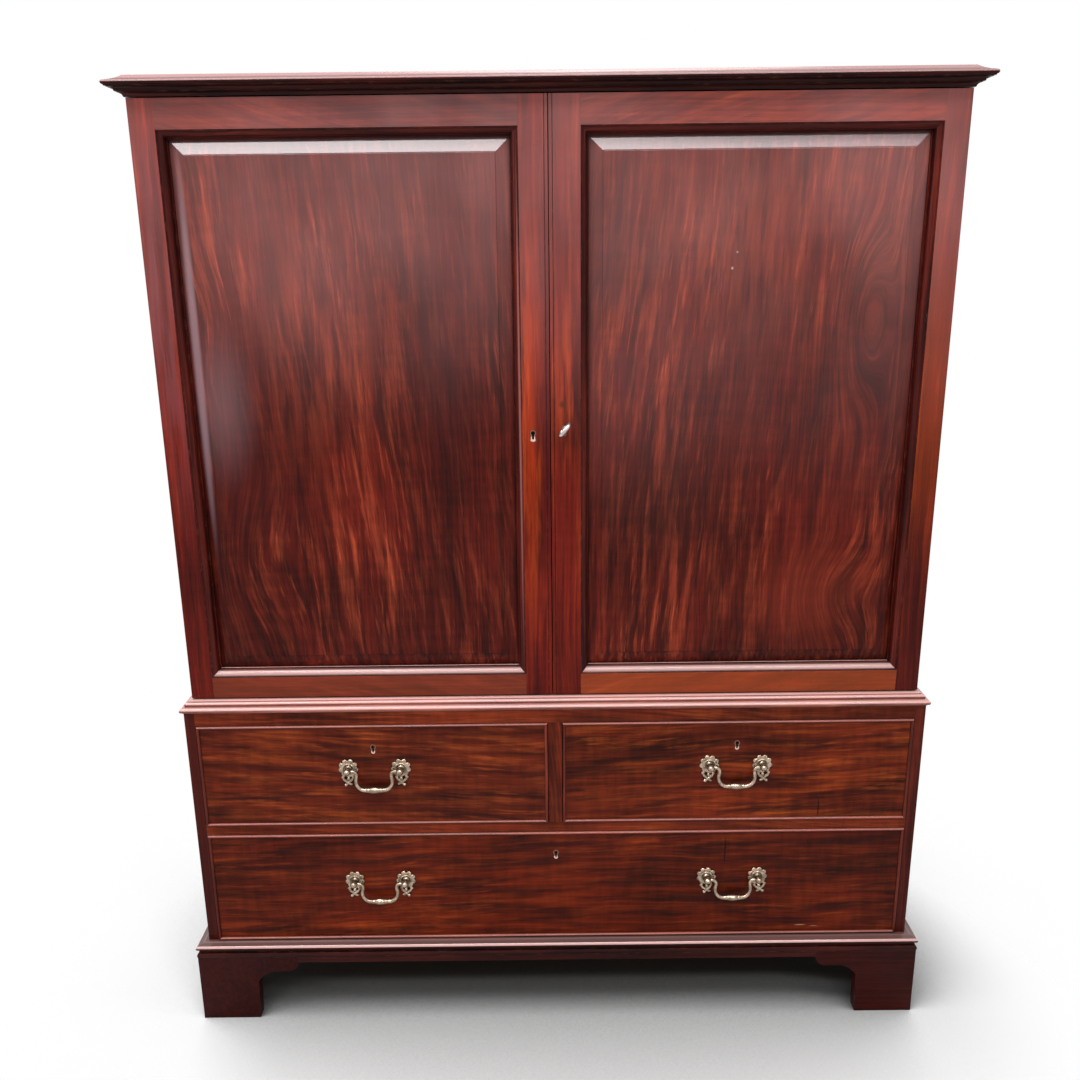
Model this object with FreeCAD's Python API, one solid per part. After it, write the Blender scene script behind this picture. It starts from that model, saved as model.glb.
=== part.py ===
import FreeCAD, Part
import math
import os

# A two-stage mahogany linen press: a cupboard of sliding trays behind two panelled doors,
# standing on a case of two short drawers over one long drawer, on bracket feet.
# The floor is z = 0, the front faces -Y, and the origin is at the middle of the footprint.
# Sizes are in millimetres. "Reach" is the distance in front of the door faces, and beside the
# outer edges of the doors, so that one reach gives both a moulding's front and its returns.

V = FreeCAD.Vector
os.makedirs("parts", exist_ok=True)

# ---------------------------------------------------------------- overall sizes
door_pair_width = 1250.0     # over the outer edges of the two closed doors
upper_depth = 532.0          # door faces to the back
lower_step = 13.0            # lower stage stands proud of the doors, in front and at each side
handle_reach = 22.0          # handle bosses in front of the drawer faces

# heights, stacked from the floor
foot_height = 130.0
base_moulding_height = 26.0
long_drawer_opening = 216.0
drawer_rail_height = 18.0
short_drawer_opening = 193.0
top_rail_height = 24.0
waist_moulding_height = 20.5
door_foot_gap = 2.5
door_height = 957.0
door_head_gap = 1.5
cornice_height = 30.0

# how far the mouldings reach beyond the doors, in front and at each side
cornice_reach = 25.0
waist_reach = 18.0
base_reach = 32.0
cornice_frame_width = 20.0   # part of the cornice frame that lies on the case

stage_gap = 0.5              # waist moulding to the foot of the upper stage inside it

# boards
upper_side_thickness = 18.0
upper_board_thickness = 18.0
lower_side_thickness = 18.0
lower_top_thickness = 18.0
back_thickness = 10.0
back_plank_count = 6
plank_gap = 0.8
rail_depth = 60.0
divider_width = 24.0
arris = 1.0                  # easing of sharp edges

# doors
door_thickness = 30.0
door_gap = 1.0               # door backs to the front of the upper case
meeting_line = -3.0          # place of the joint between the doors, from the middle
meeting_gap = 1.2
outer_stile_width = 38.5
left_meeting_stile = 44.5
right_meeting_stile = 48.0
top_rail_width = 44.0
bottom_rail_width = 37.0
tenon_length = 28.0
tenon_thickness = 9.0
edge_bead_width = 5.0
edge_bead_quirk = 1.2
edge_bead_depth = 1.6
door_moulding_width = 12.5
panel_edge_depth = 19.0      # door face down to the panel's edge
panel_tongue = 6.0           # thickness of the edge that runs in the groove
panel_in_groove = 6.0
groove_slack = 1.0
bevel_width = 21.0
bevel_rise = 5.5
field_shoulder = 1.4

# hinges of the doors
hinge_setback = 2.5          # case side stands inside the door edge, and the pin is in line with it
case_arris_chamfer = 6.0     # leaves room for the door edge to swing past the case corner
hinge_count = 2
hinge_length = 76.0
hinge_from_end = 125.0
hinge_leaf_width = 16.0
hinge_leaf_thickness = 1.5
knuckle_radius = 3.0
knuckle_count = 5
hinge_pin_radius = 1.4
pin_clearance = 0.05
knuckle_clearance = 0.35
knuckle_end_gap = 0.3
screws_per_leaf = 3
screw_from_pin = 9.5
screw_from_leaf_end = 12.0
screw_head_radius = 3.0
screw_head_depth = 2.2
screw_shank_radius = 1.6
screw_length = 14.0
screw_clearance = 0.1
screw_slot_width = 0.8

# locks, bolts and key
lock_width = 36.0
lock_height = 64.0
lock_thickness = 15.0
lock_wall = 2.0
lock_fit = 0.2
lock_bolt_height = 12.0
lock_bolt_thickness = 6.0
lock_bolt_length = 26.0
lock_bolt_throw = 9.0
bolt_fit = 0.4
bolt_start = 0.2             # drawn bolt ends this far inside the face of its lock
mortise_room = 1.0           # round the bolt in its mortise
mortise_end_room = 2.0
lock_bolt_above_key = 16.0
lock_below_key = 28.0
key_height = 1090.5
key_from_edge = 21.5
key_shank_radius = 2.4
key_bit_radius = 9.0
key_bit_thickness = 2.4
key_bit_length = 6.0
key_bit_gap = 0.6
key_bow_width = 32.0
key_bow_length = 22.0
key_bow_thickness = 4.2
key_bow_opening = 0.56       # share of the bow that is open
key_collar_radius = 3.6
key_collar_length = 2.4
key_collar_reach = 9.0
key_tilt = 40.0              # the key stands turned by this many degrees
keyhole_round_radius = 3.2
keyhole_slot_width = 3.6
keyhole_slot_drop = 11.0
thread_width = 1.8           # brass thread let in round each keyhole
thread_depth = 5.0
blind_keyhole_depth = 12.0
left_keyhole_height = 1083.0
left_keyhole_from_edge = 27.5
door_bolt_radius = 3.5
door_bolt_length = 130.0
door_bolt_travel = 12.0
door_bolt_fit = 0.08
door_bolt_clear = 1.5        # end of the drawn bolt to the board it shoots into
door_bolt_from_edge = 22.0
door_bolt_standoff = 7.0
door_bolt_socket_width = 8.8
bolt_plate_width = 26.0
bolt_plate_thickness = 1.6
bolt_plate_overhang = 4.0    # the plate stands this far in from both ends of the bolt
bolt_guide_width = 13.0
bolt_guide_from_end = 16.0
bolt_guide_wall = 2.0
bolt_guide_length = 12.0
bolt_knob_radius = 5.0
bolt_knob_length = 8.0
bolt_knob_from_end = 72.0

# drawers
drawer_gap = 1.0
drawer_front_thickness = 20.0
drawer_end_gap = 30.0        # back of a drawer to the back boards
drawer_side_thickness = 10.0
drawer_back_thickness = 10.0
drawer_bottom_thickness = 8.0
drawer_bottom_lift = 7.0
drawer_side_drop = 4.0       # sides stop this far below the top of the front
drawer_back_drop = 6.0       # and the back this far below the sides
dovetail_length = 14.0
dovetail_splay = 3.0
dovetail_pin = 12.0
dovetail_pitch = 48.0
bead_thickness = 5.0
bead_proud = 3.5
bead_rebate = 5.0
drawer_lock_width = 60.0
drawer_lock_height = 58.0
drawer_lock_thickness = 13.0
drawer_lock_bolt_width = 26.0
drawer_lock_bolt_height = 22.0
drawer_lock_bolt_throw = 8.0
keyhole_below_top = 42.0
runner_width = 30.0
guide_height = 30.0
dust_board_thickness = 8.0

# handles
handle_spacing = 92.0
short_handle_drop = 83.0     # top of the drawer opening down to the handle centres
long_handle_drop = 94.5
short_handle_centre = 315.0
long_handle_centre = 316.5
rosette_radius = 18.0
rosette_thickness = 2.6
rosette_lobes = 9
rosette_lobe_radius = 5.6
rosette_leaf_length = 34.0
rosette_leaf_width = 17.0
rosette_leaf_thickness = 2.2
post_radius = 5.4
post_shank_radius = 3.0
post_hole_slack = 0.3
post_dome = 3.3              # height of the rounded head
post_end_past_nut = 2.0
nut_radius = 7.0
nut_thickness = 4.0
bail_standoff = 13.0         # drawer face to the axis the bail swings on
bail_pin_radius = 2.0
bail_pin_fit = 0.08
bail_pin_in_post = 4.0
bail_pin_end_gap = 0.4
bail_post_gap = 0.6          # shoulder of the bail to the post
bail_radius = 3.4
bail_neck_half_width = 27.5
bail_knee = 4.0              # the shoulder stands this far outside the neck
bail_half_width = 31.0
bail_foot_half_width = 17.0
bail_drop = 36.0
bail_swell_radius = 6.0
bail_swell_length = 25.0
bail_collar_radius = 4.6
bail_collar_length = 2.5

# trays
tray_count = 4
tray_setback = 42.0          # front edge of the upper case to the tray fronts
tray_side_gap = 2.0
tray_board = 9.0
tray_front_board = 14.0
tray_height = 72.0
tray_front_height = 52.0
tray_dip = 16.0              # middle of the tray front is this much lower
tray_dip_half_width = 350.0
tray_dip_run = 60.0
tray_edge_rounding = 3.6
tray_bottom_thickness = 7.0
tray_end_gap = 9.0           # back of a tray to the back boards
tray_first_lift = 22.0
tray_runner_height = 14.0
tray_runner_width = 14.0
tray_runner_gap = 0.4

# bracket feet
bracket_thickness = 22.0
bracket_reach = 30.5
foot_width = 104.0
foot_lean = 3.0
foot_shoulder_height = 78.0
wing_height = 99.5
wing_tip_height = 118.0
wing_reach = 183.0
foot_diagonal_run = 28.0
wing_nose_run = 15.0
foot_curve = 2.5             # how far the cut edge bows off a straight line
glue_block = 42.0
glue_block_lift = 2.0
rear_bracket_width = 130.0
rear_foot_width = 84.0

# ---------------------------------------------------------------- places worked out from them
total_depth = upper_depth + lower_step + handle_reach
y_back = total_depth / 2.0
y_drawer_face = -total_depth / 2.0 + handle_reach
y_door_face = y_drawer_face + lower_step
y_door_back = y_door_face + door_thickness
y_case_front = y_door_back + door_gap
y_hinge = y_door_back + door_gap / 2.0

half_doors = door_pair_width / 2.0
half_upper = half_doors - hinge_setback
half_inside = half_upper - upper_side_thickness
half_lower = half_doors + lower_step
half_opening = half_lower - lower_side_thickness

z_case_foot = foot_height
z_long_foot = z_case_foot + base_moulding_height
z_long_head = z_long_foot + long_drawer_opening
z_short_foot = z_long_head + drawer_rail_height
z_short_head = z_short_foot + short_drawer_opening
z_lower_top = z_short_head + top_rail_height
z_waist_top = z_lower_top + waist_moulding_height
z_door_foot = z_waist_top + door_foot_gap
z_door_head = z_door_foot + door_height
z_cornice = z_door_head + door_head_gap


# ---------------------------------------------------------------- helpers
def block(x0, x1, y0, y1, z0, z1):
    """A rectangular solid between two corners."""
    return Part.makeBox(x1 - x0, y1 - y0, z1 - z0, V(x0, y0, z0))


def span(a, b):
    return min(a, b), max(a, b)


def rod(start, direction, radius, length):
    return Part.makeCylinder(radius, length, start, direction)


def face_of(points, place):
    """A flat face from 2-D points. A pair of pairs is an arc: a point on it, then its end."""
    edges = []
    here = points[0]
    for item in list(points[1:]) + [points[0]]:
        if isinstance(item[0], tuple):
            through, end = item
            edges.append(Part.Arc(place(*here), place(*through), place(*end)).toShape())
        else:
            end = item
            edges.append(Part.makeLine(place(*here), place(*end)))
        here = end
    return Part.Face(Part.Wire(edges))


def prism_x(points, x0, x1):
    """Outline in (y, z), drawn out along X."""
    return face_of(points, lambda y, z: V(x0, y, z)).extrude(V(x1 - x0, 0, 0))


def prism_y(points, y0, y1):
    """Outline in (x, z), drawn out along Y."""
    return face_of(points, lambda x, z: V(x, y0, z)).extrude(V(0, y1 - y0, 0))


def prism_z(points, z0, z1):
    """Outline in (x, y), drawn out along Z."""
    return face_of(points, lambda x, y: V(x, y, z0)).extrude(V(0, 0, z1 - z0))


def eased(shape, radius, chosen):
    """Round the edges whose middle point is chosen."""
    edges = [edge for edge in shape.Edges if chosen(edge.CenterOfMass)]
    return shape.makeFillet(radius, edges)


def save(name, solids):
    Part.makeCompound(solids).exportStep("parts/" + name + ".step")


def mirrored(solids):
    return [solid.mirror(V(0, 0, 0), V(1, 0, 0)) for solid in solids]


# ---------------------------------------------------------------- mouldings round three sides
def wrapped_moulding(outline, inner_front, inner_side, z_foot):
    """Front length and two returns of one section, mitred at the front corners.

    outline(inner) gives the section as (reach, height) with its flat back at that reach.
    """
    far = 120.0
    length = half_doors + far
    front_section = outline(inner_front)
    side_section = outline(inner_side)
    front = face_of(front_section, lambda reach, h: V(-length, y_door_face - reach, z_foot + h))
    front = front.extrude(V(2 * length, 0, 0))
    end = half_doors + inner_side
    plan = [(-end, y_door_face - inner_side), (-half_doors - far, y_door_face - far),
            (half_doors + far, y_door_face - far), (end, y_door_face - inner_side)]
    if inner_front < inner_side:
        plan += [(end, y_door_face - inner_front), (-end, y_door_face - inner_front)]
    front = front.common(prism_z(plan, z_foot - 1, z_foot + far))
    side = face_of(side_section, lambda reach, h: V(half_doors + reach, y_door_face - far, z_foot + h))
    side = side.extrude(V(0, y_back - y_door_face + far, 0))
    plan = [(end, y_door_face - inner_side), (half_doors + far, y_door_face - far),
            (half_doors + far, y_back), (end, y_back)]
    side = side.common(prism_z(plan, z_foot - 1, z_foot + far))
    return [front, side] + mirrored([side])


def cornice_outline(inner):
    """Bead, cove, fillet and nose, with a hollow weathering above, as shares of reach and height."""
    r, h = cornice_reach, cornice_height
    return [(inner, 0.0), (0.08 * r, 0.0), ((0.17 * r, 0.13 * h), (0.34 * r, 0.19 * h)), (0.34 * r, 0.22 * h),
            (0.46 * r, 0.22 * h), ((0.53 * r, 0.35 * h), (0.76 * r, 0.39 * h)), (0.76 * r, 0.42 * h),
            (0.88 * r, 0.42 * h), (0.88 * r, 0.46 * h), ((r, 0.57 * h), (0.9 * r, 0.68 * h)),
            ((0.48 * r, 0.79 * h), (0.04 * r, h)), (inner, h)]


def waist_outline(inner):
    """Fillet, ovolo, quirk and torus, stepping out on the way down, as shares of reach and height."""
    r, h = waist_reach, waist_moulding_height
    return [(inner, 0.0), (0.78 * r, 0.0), (0.78 * r, 0.06 * h), ((r, 0.2 * h), (0.72 * r, 0.5 * h)),
            (0.58 * r, 0.5 * h), (0.58 * r, 0.6 * h), ((0.6 * r, 0.78 * h), (0.3 * r, 0.86 * h)),
            (0.3 * r, 0.92 * h), (0.1 * r, h), (inner, h)]


def base_outline(inner):
    """Sloping ledge, round nose and quirk over a bead band, as shares of reach and height."""
    r, h = base_reach, base_moulding_height
    return [(inner, 0.0), (0.94 * r, 0.0), ((0.98 * r, 0.15 * h), (0.93 * r, 0.32 * h)), (0.83 * r, 0.34 * h),
            (0.83 * r, 0.54 * h), ((r, 0.74 * h), (0.92 * r, 0.9 * h)), ((0.78 * r, 0.93 * h), (0.6 * r, h)),
            (inner, h)]


cornice_frame = -(door_thickness + door_gap + cornice_frame_width)
cornice = wrapped_moulding(cornice_outline, cornice_frame, cornice_frame, z_cornice)
waist_front_inner = -(door_thickness + door_gap) + stage_gap
waist_side_inner = -hinge_setback + stage_gap
waist = wrapped_moulding(waist_outline, waist_front_inner, waist_side_inner, z_lower_top)
base = wrapped_moulding(base_outline, lower_step, lower_step, z_case_foot)

# strips that close the bracket base between the feet, under the band
strip_inner = bracket_reach - bracket_thickness
front_strip = block(-half_doors - bracket_reach + wing_reach, half_doors + bracket_reach - wing_reach,
                    y_door_face - bracket_reach, y_door_face - strip_inner, wing_tip_height, z_case_foot)
side_strip = block(half_doors + strip_inner, half_doors + bracket_reach,
                   y_door_face - bracket_reach + wing_reach, y_back - wing_reach,
                   wing_tip_height, z_case_foot)
save("cornice", cornice)
save("waist_moulding", waist)
save("base_moulding", base + [front_strip, side_strip] + mirrored([side_strip]))


# ---------------------------------------------------------------- bracket feet
def bracket_outline():
    """Foot and cut wing as (distance in from the corner, height)."""
    shoulder = foot_width + foot_lean
    wing_start = shoulder + foot_diagonal_run
    nose_start = wing_reach - wing_nose_run
    nose_middle = ((nose_start + wing_reach) / 2.0 + foot_curve,
                   (wing_height + wing_tip_height) / 2.0 - foot_curve)
    shoulder_middle = ((shoulder + wing_start) / 2.0 - foot_curve,
                       (foot_shoulder_height + wing_height) / 2.0 + foot_curve)
    return [(0.0, 0.0), (foot_width, 0.0), (shoulder, foot_shoulder_height),
            (shoulder_middle, (wing_start, wing_height)), (nose_start, wing_height),
            (nose_middle, (wing_reach, wing_tip_height)), (wing_reach, foot_height), (0.0, foot_height)]


def rear_outline():
    """Plain rear bracket, cut away below to a slope, behind the side bracket."""
    start = bracket_thickness
    return [(start, 0.0), (rear_foot_width, 0.0), (rear_bracket_width, wing_height),
            (rear_bracket_width, foot_height), (start, foot_height)]


x_foot = half_doors + bracket_reach
y_foot = y_door_face - bracket_reach
thick = bracket_thickness

front_bracket = face_of(bracket_outline(), lambda s, z: V(-x_foot + s, y_foot, z)).extrude(V(0, thick, 0))
mitre = prism_z([(-x_foot, y_foot), (-x_foot + wing_reach + 1, y_foot),
                 (-x_foot + wing_reach + 1, y_foot + thick), (-x_foot + thick, y_foot + thick)],
                -1, foot_height + 1)
front_bracket = front_bracket.common(mitre)
side_bracket = face_of(bracket_outline(), lambda s, z: V(-x_foot, y_foot + s, z)).extrude(V(thick, 0, 0))
mitre = prism_z([(-x_foot, y_foot), (-x_foot + thick, y_foot + thick),
                 (-x_foot + thick, y_foot + wing_reach + 1), (-x_foot, y_foot + wing_reach + 1)],
                -1, foot_height + 1)
side_bracket = side_bracket.common(mitre)
front_block = block(-x_foot + thick, -x_foot + thick + glue_block, y_foot + thick,
                    y_foot + thick + glue_block, glue_block_lift, z_case_foot)
foot_left = [front_bracket, side_bracket, front_block]
save("foot_front_left", foot_left)
save("foot_front_right", mirrored(foot_left))

rear_side = face_of(bracket_outline(), lambda s, z: V(-x_foot, y_back - s, z)).extrude(V(thick, 0, 0))
rear_board = face_of(rear_outline(), lambda s, z: V(-x_foot + s, y_back, z)).extrude(V(0, -thick, 0))
rear_block = block(-x_foot + thick, -x_foot + thick + glue_block, y_back - thick - glue_block,
                   y_back - thick, glue_block_lift, z_case_foot)
rear_foot = [rear_side, rear_board, rear_block]
save("feet_rear", rear_foot + mirrored(rear_foot))


# ---------------------------------------------------------------- door hinges
def hinge_heights():
    first = z_door_foot + hinge_from_end
    last = z_door_head - hinge_from_end - hinge_length
    step = (last - first) / (hinge_count - 1)
    return [first + i * step for i in range(hinge_count)]


def knuckle_spans(z_foot):
    """Lowest and highest point of each knuckle, from the bottom."""
    height = hinge_length / knuckle_count
    return [(z_foot + i * height, z_foot + (i + 1) * height) for i in range(knuckle_count)]


def hinge_pin(side, z_foot):
    return V(side * half_upper, y_hinge, z_foot)


def hinge_room(side, z_foot, extra):
    """Round space about the pin that the wood leaves for the knuckles."""
    start = hinge_pin(side, z_foot - knuckle_end_gap)
    return rod(start, V(0, 0, 1), knuckle_radius + extra, hinge_length + 2 * knuckle_end_gap)


def leaf_box(side, z_foot, on_door):
    x_edge = side * half_upper
    x_far = side * (half_upper - hinge_leaf_width)
    if on_door:
        y0, y1 = y_door_back - hinge_leaf_thickness, y_door_back
    else:
        y0, y1 = y_case_front, y_case_front + hinge_leaf_thickness
    a, b = span(x_edge, x_far)
    return block(a, b, y0, y1, z_foot, z_foot + hinge_length)


def screw_places(side, z_foot):
    x = side * (half_upper - screw_from_pin)
    first = z_foot + screw_from_leaf_end
    step = (hinge_length - 2 * screw_from_leaf_end) / (screws_per_leaf - 1)
    return [(x, first + i * step) for i in range(screws_per_leaf)]


def screw(x, z, on_door, extra):
    """Countersunk screw, head flush with the leaf. The slot in its head is cut by the caller."""
    if on_door:
        y_head, into = y_door_back, -1.0
    else:
        y_head, into = y_case_front, 1.0
    head = Part.makeCone(screw_head_radius + extra, screw_shank_radius + extra, screw_head_depth,
                         V(x, y_head, z), V(0, into, 0))
    shank = rod(V(x, y_head + into * screw_head_depth, z), V(0, into, 0), screw_shank_radius + extra,
                screw_length - screw_head_depth + extra)
    return head.fuse(shank)


def hinge_leaf(side, z_foot, on_door):
    """One leaf with its knuckles. The case leaf also carries the pin."""
    own = 1 if on_door else 0
    leaf = leaf_box(side, z_foot, on_door)
    for i, (z0, z1) in enumerate(knuckle_spans(z_foot)):
        if i % 2 != own:
            leaf = leaf.cut(rod(hinge_pin(side, z0 - knuckle_end_gap), V(0, 0, 1),
                                knuckle_radius + knuckle_clearance, z1 - z0 + 2 * knuckle_end_gap))
    for i, (z0, z1) in enumerate(knuckle_spans(z_foot)):
        if i % 2 == own:
            leaf = leaf.fuse(rod(hinge_pin(side, z0), V(0, 0, 1), knuckle_radius, z1 - z0))
    pin = rod(hinge_pin(side, z_foot), V(0, 0, 1), hinge_pin_radius, hinge_length)
    if on_door:
        bore = rod(hinge_pin(side, z_foot), V(0, 0, 1), hinge_pin_radius + pin_clearance, hinge_length)
        leaf = leaf.cut(bore)
    else:
        leaf = leaf.fuse(pin)
    for x, z in screw_places(side, z_foot):
        leaf = leaf.cut(screw(x, z, on_door, screw_clearance))
    return leaf


def hinge_set(side, on_door):
    """Leaves and screws of all the hinges of one door, on the door or on the case."""
    leaves = []
    screws = []
    for z_foot in hinge_heights():
        leaves.append(hinge_leaf(side, z_foot, on_door))
        for x, z in screw_places(side, z_foot):
            whole = screw(x, z, on_door, 0.0)
            y_head = y_door_back if on_door else y_case_front
            half_slot = screw_slot_width / 2.0
            slot = block(x - screw_head_radius, x + screw_head_radius, y_head - screw_slot_width,
                         y_head + screw_slot_width, z - half_slot, z + half_slot)
            screws.append(whole.cut(slot))
    return leaves + screws


def cut_for_hinges(board, side, on_door):
    """Let the leaves, knuckles and screws into a board."""
    for z_foot in hinge_heights():
        board = board.cut(leaf_box(side, z_foot, on_door))
        board = board.cut(hinge_room(side, z_foot, knuckle_clearance))
        if on_door:
            a, b = span(side * half_upper, side * (half_doors + 1))
            y_deep = y_hinge - knuckle_radius - knuckle_clearance
            board = board.cut(block(a, b, y_deep, y_door_back + 1, z_foot - knuckle_end_gap,
                                    z_foot + hinge_length + knuckle_end_gap))
        for x, z in screw_places(side, z_foot):
            board = board.cut(screw(x, z, on_door, screw_clearance))
    return board


# ---------------------------------------------------------------- upper case
def planks(half_width, z0, z1):
    """Upright back boards, side by side, with a small gap between neighbours."""
    width = (2 * half_width - (back_plank_count - 1) * plank_gap) / back_plank_count
    boards = []
    for i in range(back_plank_count):
        x = -half_width + i * (width + plank_gap)
        board = block(x, x + width, y_back - back_thickness, y_back, z0, z1)
        boards.append(eased(board, arris, lambda c: abs(c.z - (z0 + z1) / 2) < 1 and c.y > y_back - 1))
    return boards


def upper_side(side):
    """Case side. Its front outer corner is chamfered so that the door edge swings clear."""
    inner = side * half_inside
    outer = side * half_upper
    chamfer_x = side * (half_upper - case_arris_chamfer)
    board = prism_z([(inner, y_case_front), (chamfer_x, y_case_front),
                     (outer, y_case_front + case_arris_chamfer), (outer, y_back), (inner, y_back)],
                    z_lower_top, z_cornice)
    return cut_for_hinges(board, side, False)


y_back_inside = y_back - back_thickness
z_upper_floor = z_lower_top + upper_board_thickness
z_upper_ceiling = z_cornice - upper_board_thickness
x_door_bolt = meeting_line - meeting_gap / 2.0 - door_bolt_from_edge
y_door_bolt = y_door_back + door_bolt_standoff


def bolt_socket(z0, z1):
    """Square mortise that the round bolt shoots into."""
    half = door_bolt_socket_width / 2.0
    return block(x_door_bolt - half, x_door_bolt + half, y_door_bolt - half, y_door_bolt + half, z0, z1)


socket_depth = door_bolt_travel + 1.0
upper_top = block(-half_inside, half_inside, y_case_front, y_back_inside, z_upper_ceiling, z_cornice)
upper_top = upper_top.cut(bolt_socket(z_upper_ceiling - 1, z_upper_ceiling + socket_depth))
upper_bottom = block(-half_inside, half_inside, y_case_front, y_back_inside, z_lower_top, z_upper_floor)
upper_bottom = upper_bottom.cut(bolt_socket(z_upper_floor - socket_depth, z_upper_floor + 1))
save("upper_side_left", [upper_side(-1)])
save("upper_side_right", [upper_side(1)])
save("upper_top", [upper_top])
save("upper_bottom", [upper_bottom])
save("upper_back", planks(half_inside, z_lower_top, z_cornice))
save("case_hinges", hinge_set(-1, False) + hinge_set(1, False))

# ---------------------------------------------------------------- sliding trays
y_tray_front = y_case_front + tray_setback
y_tray_back = y_back_inside - tray_end_gap
half_tray = half_inside - tray_side_gap
tray_pitch = (z_upper_ceiling - z_upper_floor - tray_first_lift) / tray_count


def tray_foot(i):
    return z_upper_floor + tray_first_lift + i * tray_pitch


def tray(z):
    """Shallow tray with a low front that dips in the middle."""
    side_top = z + tray_height
    front_top = z + tray_front_height
    dip_foot = front_top - tray_dip
    outer = tray_dip_half_width + tray_dip_run
    middle = tray_dip_half_width + tray_dip_run * 0.55
    y_side = y_tray_front + tray_front_board
    inner = half_tray - tray_board
    left = block(-half_tray, -inner, y_side, y_tray_back, z, side_top)
    y_middle = (y_side + y_tray_back) / 2.0
    left = eased(left, tray_edge_rounding, lambda c: c.z > side_top - 1 and abs(c.y - y_middle) < 1)
    back = block(-inner, inner, y_tray_back - tray_board, y_tray_back, z, side_top)
    front = prism_y([(-half_tray, z), (half_tray, z), (half_tray, front_top), (outer, front_top),
                     ((middle, front_top - tray_dip * 0.35), (tray_dip_half_width, dip_foot)),
                     (-tray_dip_half_width, dip_foot),
                     ((-middle, front_top - tray_dip * 0.35), (-outer, front_top)), (-half_tray, front_top)],
                    y_tray_front, y_side)
    bottom = block(-inner, inner, y_side, y_tray_back - tray_board, z, z + tray_bottom_thickness)
    return [front, left, back, bottom] + mirrored([left])


def tray_runner(z):
    outer = half_inside
    runner = block(outer - tray_runner_width, outer, y_tray_front, y_back_inside, z - tray_runner_height, z)
    return [runner] + mirrored([runner])


tray_solids = []
runner_solids = []
for number in range(tray_count):
    tray_solids += tray(tray_foot(number) + tray_runner_gap)
    runner_solids += tray_runner(tray_foot(number))
save("trays", tray_solids)
save("tray_runners", runner_solids)


# ---------------------------------------------------------------- keyholes
def keyhole(x, z, extra, y0, y1):
    """Upright keyhole shape drawn out along Y, grown by extra all round."""
    r = keyhole_round_radius + extra
    half_slot = keyhole_slot_width / 2.0 + extra
    end = z - keyhole_slot_drop - extra
    hole = rod(V(x, y0, z), V(0, 1, 0), r, y1 - y0)
    slot = block(x - half_slot, x + half_slot, y0, y1, end + half_slot, z)
    foot = rod(V(x, y0, end + half_slot), V(0, 1, 0), half_slot, y1 - y0)
    return hole.fuse([slot, foot]).removeSplitter()


def key_thread(x, z, y_face, fit):
    """Brass thread round a keyhole, let in flush with the face."""
    ring = keyhole(x, z, thread_width - fit, y_face, y_face + thread_depth - fit)
    return ring.cut(keyhole(x, z, 0.0, y_face - 1, y_face + thread_depth + 1))


# ---------------------------------------------------------------- doors
x_left_edge = meeting_line - meeting_gap / 2.0
x_right_edge = meeting_line + meeting_gap / 2.0
z_panel_foot = z_door_foot + bottom_rail_width
z_panel_head = z_door_head - top_rail_width
groove_depth = panel_in_groove + groove_slack
x_key = x_right_edge + key_from_edge
z_lock_bolt = key_height + lock_bolt_above_key
y_lock_front = y_door_back - lock_thickness
y_lock_bolt = y_lock_front + (lock_thickness - lock_bolt_thickness) / 2.0
x_left_keyhole = x_left_edge - left_keyhole_from_edge


def along(side, distance):
    """X at a distance in from the outer edge of a door."""
    return side * (half_doors - distance)


def door_edges(side):
    """Outer edge, panel opening and meeting edge of one door, as X values."""
    outer = side * half_doors
    open_outer = along(side, outer_stile_width)
    if side < 0:
        meeting = x_left_edge
        open_inner = meeting - left_meeting_stile
    else:
        meeting = x_right_edge
        open_inner = meeting + right_meeting_stile
    return outer, open_outer, open_inner, meeting


def tenons(side, extra):
    """The four tenons of the two rails, which the mortises copy."""
    outer, open_outer, open_inner, meeting = door_edges(side)
    y0 = y_door_face + (door_thickness - tenon_thickness) / 2.0
    inset = 7.0
    shapes = []
    for z0, z1 in ((z_door_foot + inset, z_panel_foot - groove_depth - 1.0),
                   (z_panel_head + groove_depth + 1.0, z_door_head - inset)):
        for x, outward in ((open_outer, side), (open_inner, -side)):
            a, b = span(x, x + outward * (tenon_length + extra))
            shapes.append(block(a, b, y0, y0 + tenon_thickness, z0, z1))
    return shapes


def groove_for_panel(side):
    """Room that the edge of the panel runs in, as one slab."""
    outer, open_outer, open_inner, meeting = door_edges(side)
    a, b = span(open_outer, open_inner)
    y0 = y_door_face + panel_edge_depth
    return block(a - groove_depth, b + groove_depth, y0, y0 + panel_tongue,
                 z_panel_foot - groove_depth, z_panel_head + groove_depth)


def door_stiles(side):
    outer, open_outer, open_inner, meeting = door_edges(side)
    solids = []
    for edge, inner in ((outer, open_outer), (meeting, open_inner)):
        a, b = span(edge, inner)
        stile = block(a, b, y_door_face, y_door_back, z_door_foot, z_door_head)
        stile = eased(stile, arris, lambda c: abs(c.x - edge) < 0.1 and abs(c.y - y_door_face) < 0.1)
        stile = stile.cut(groove_for_panel(side))
        for tenon in tenons(side, 0.5):
            stile = stile.cut(tenon)
        solids.append(stile)
    solids[0] = cut_for_hinges(solids[0], side, True)
    inward = side
    a, b = span(meeting + inward * edge_bead_width, meeting + inward * (edge_bead_width + edge_bead_quirk))
    quirk = block(a, b, y_door_face - 1, y_door_face + edge_bead_depth, z_door_foot - 1, z_door_head + 1)
    solids[1] = solids[1].cut(quirk)
    return solids


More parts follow.
